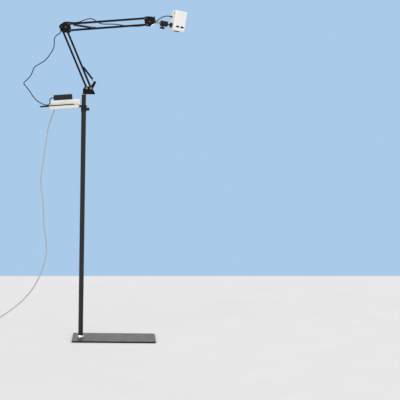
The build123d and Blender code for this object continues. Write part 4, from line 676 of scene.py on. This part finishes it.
coil = coil_spots()
coil_leave = COIL_FIRST + COIL_HALF_TURNS * math.pi
COIL_END = coil[-1] + Vector((-math.sin(coil_leave), math.cos(coil_leave), 0)) * 2 * MAINS_R
mains_route = [
    GLAND_END,
    stepped(GLAND_END, (0, 1, 0), 27),
    (-134, 97, 1062),
    (-146, 104, 1033),
    (-166, 104, 976),
    (-177, 98, 901),
    (-186, 96, 825),
    (-197, 100, 750),
    (-198, 106, 690),
    (-187, 112, 630),
    (-185, 119, 570),
    (-184, 128, 510),
    (-173, 140, 450),
    (-169, 153, 390),
    (-182, 167, 324),
    (-204, 184, 260),
    (-238, 206, 198),
    (-285, 231, 140),
    (-339, 258, 93),
    (-395, 284, 52),
    (-448, 306, 20),
    (-497, 323, 3.1),
    *coil,
    COIL_END,
]
mains, mains_path = lead("mains_lead", mains_route, MAINS_R, "lead_white")
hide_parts("mains_cord", "mains_coil")
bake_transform(mains)


# The adapter lead, in stretches that each span one joint

DC_R = 2.2
LEAD_STEP = 14
ADAPTER_X, ADAPTER_L, ADAPTER_H, BOOT_L = -90.5, 84, 25, 5
JACK_Y, JACK_Z, DC_PLUG_L = 14.1, 15.5, 8
LEAD_BEHIND = Vector((0, 21, 0))
BOOT_END = tray_spot(ADAPTER_X - ADAPTER_L / 2, STRIP_SEAT + STRIP_H + ADAPTER_H / 2) - TRAY_WAY * BOOT_L
ELBOW_LEAD = ELBOW_A + LEAD_BEHIND
END_LEAD = END_L + LEAD_BEHIND
ELBOW_WAY = Vector((0.1, 0.1, 0.98))
END_WAY = Vector((0.97, 0.1, 0.22))
PLUG_BACK = head_spot(-HEAD_W / 2 - DC_PLUG_L, JACK_Y, JACK_Z)
KINK = (-268, 0, 1161)
TIP_LEAD = (315.1, 22.2, 1458.8)
BALL_LEAD = (343.5, 19.5, 1481)
low_route = [
    BOOT_END,
    stepped(BOOT_END, -TRAY_WAY, LEAD_STEP),
    (-154, -4, 1090),
    (-154, -8, 1079),
    (-166, -10, 1071.5),
    (-183, -10, 1076),
    (-202, -8, 1085),
    (-219, -6, 1097),
    (-235, -3, 1117),
    (-250, 0, 1141),
    KINK,
]
mid_route = [
    KINK,
    (-277, 0, 1171),
    (-263, 0, 1183),
    (-244, 0, 1202),
    (-234, 0, 1225),
    (-226, 0, 1247),
    (-200, 0, 1261),
    (-173, 0, 1280),
    (-152, 1, 1310),
    (-137, 3, 1340),
    (-139, 6, 1366),
    (-136, 10, 1384),
    (-123, 15, 1397),
    stepped(ELBOW_LEAD, ELBOW_WAY, -2 * LEAD_STEP),
    ELBOW_LEAD,
]
arm_route = [
    ELBOW_LEAD,
    stepped(ELBOW_LEAD, ELBOW_WAY, 1.5 * LEAD_STEP),
    (-84, 22, 1455),
    (-58, 17, 1452),
    (-33, 12, 1452),
    (-10, 9, 1461),
    (12, 8, 1470),
    (36, 8, 1471),
    (53, 10, 1457),
    (79, 11, 1447),
    (118, 11, 1449),
    (155, 11, 1447),
    (192, 11, 1441),
    (228, 14, 1441),
    stepped(END_LEAD, END_WAY, -2 * LEAD_STEP),
    END_LEAD,
]
end_route = [
    END_LEAD,
    stepped(END_LEAD, END_WAY, 1.5 * LEAD_STEP),
    TIP_LEAD,
]
tip_route = [
    TIP_LEAD,
    (318, 22, 1460),
    (334, 21, 1474),
    BALL_LEAD,
]
head_route = [
    BALL_LEAD,
    (353, 18, 1488),
    stepped(PLUG_BACK, -HEAD_X, LEAD_STEP),
    PLUG_BACK,
]
adapter_leads = [
    ("low", low_route, "dc_lead_low", ("mast", "bracket"), 0.192, "connector", [nodes["adapter_boot"]]),
    ("mid", mid_route, "dc_lead_mid", ("bracket", "lower_left"), 0.339, "object", []),
    ("arm", arm_route, "dc_lead_arm", ("elbow", "upper_bottom"), 0.419, "object", []),
    ("end", end_route, "dc_lead_head", ("end", "tip"), 0.033, "object", []),
    ("tip", tip_route, "dc_lead_head", ("tip", "ball_stud"), 0.036, "object", []),
    ("head", head_route, "dc_lead_head", ("ball_stud", "head"), 0.049, "plug", [nodes["dc_plug"]]),
]
for name, route, stands_for, (near, far), length, ending, ends in adapter_leads:
    tube, path = lead("adapter_lead_" + name, route, DC_R, "lead_black")
    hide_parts(stands_for)
    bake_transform(tube)


# Pale floor, which ends where the photograph's does, and soft studio light

FLOOR_REACH, FLOOR_END_LEFT, FLOOR_END_RIGHT = 30, -0.55, 5.36
floor_mesh = bpy.data.meshes.new("floor")
floor_mesh.from_pydata(
    [
        (-FLOOR_REACH, -FLOOR_REACH, 0), (FLOOR_REACH, -FLOOR_REACH, 0),
        (FLOOR_REACH, FLOOR_END_RIGHT, 0), (-FLOOR_REACH, FLOOR_END_LEFT, 0),
    ],
    [], [(0, 1, 2, 3)],
)
floor = shown("floor", floor_mesh)
floor_look, t, shader, where = finish_tree("floor")
t.links.new(shades(t, cloud(t, where, 3), (0.8, 0.8, 0.8), (0.82, 0.82, 0.82)), shader.inputs["Base Color"])
shader.inputs["Roughness"].default_value = 0.7
shader.inputs["Specular IOR Level"].default_value = 0.2
floor.data.materials.append(floor_look)

world = bpy.data.worlds.new("world")
bpy.context.scene.world = world
world.use_nodes = True
t = world.node_tree
t.nodes.clear()
out = t.nodes.new("ShaderNodeOutputWorld")
room = t.nodes.new("ShaderNodeBackground")
room.inputs["Color"].default_value = (1, 1, 1, 1)
room.inputs["Strength"].default_value = 0.5
seen = t.nodes.new("ShaderNodeBackground")
seen.inputs["Color"].default_value = (0.4, 0.59, 0.82, 1)
seen.inputs["Strength"].default_value = 1.0
rays = t.nodes.new("ShaderNodeLightPath")
mix = t.nodes.new("ShaderNodeMixShader")
t.links.new(rays.outputs["Is Camera Ray"], mix.inputs[0])
t.links.new(room.outputs[0], mix.inputs[1])
t.links.new(seen.outputs[0], mix.inputs[2])
t.links.new(mix.outputs[0], out.inputs[0])


def sun(name, way, soft_angle, strength):
    light = bpy.data.lights.new(name, "SUN")
    light.angle = math.radians(soft_angle)
    light.energy = strength
    shown(name, light).rotation_euler = Vector(way).to_track_quat("-Z", "Y").to_euler()


sun("key", (0.5, 0.95, -0.75), 50, 1.6)
sun("fill", (-0.8, 0.7, -0.55), 70, 0.5)
sun("back", (-0.1, -0.9, -0.7), 60, 0.6)
bpy.context.scene.view_settings.view_transform = "Standard"
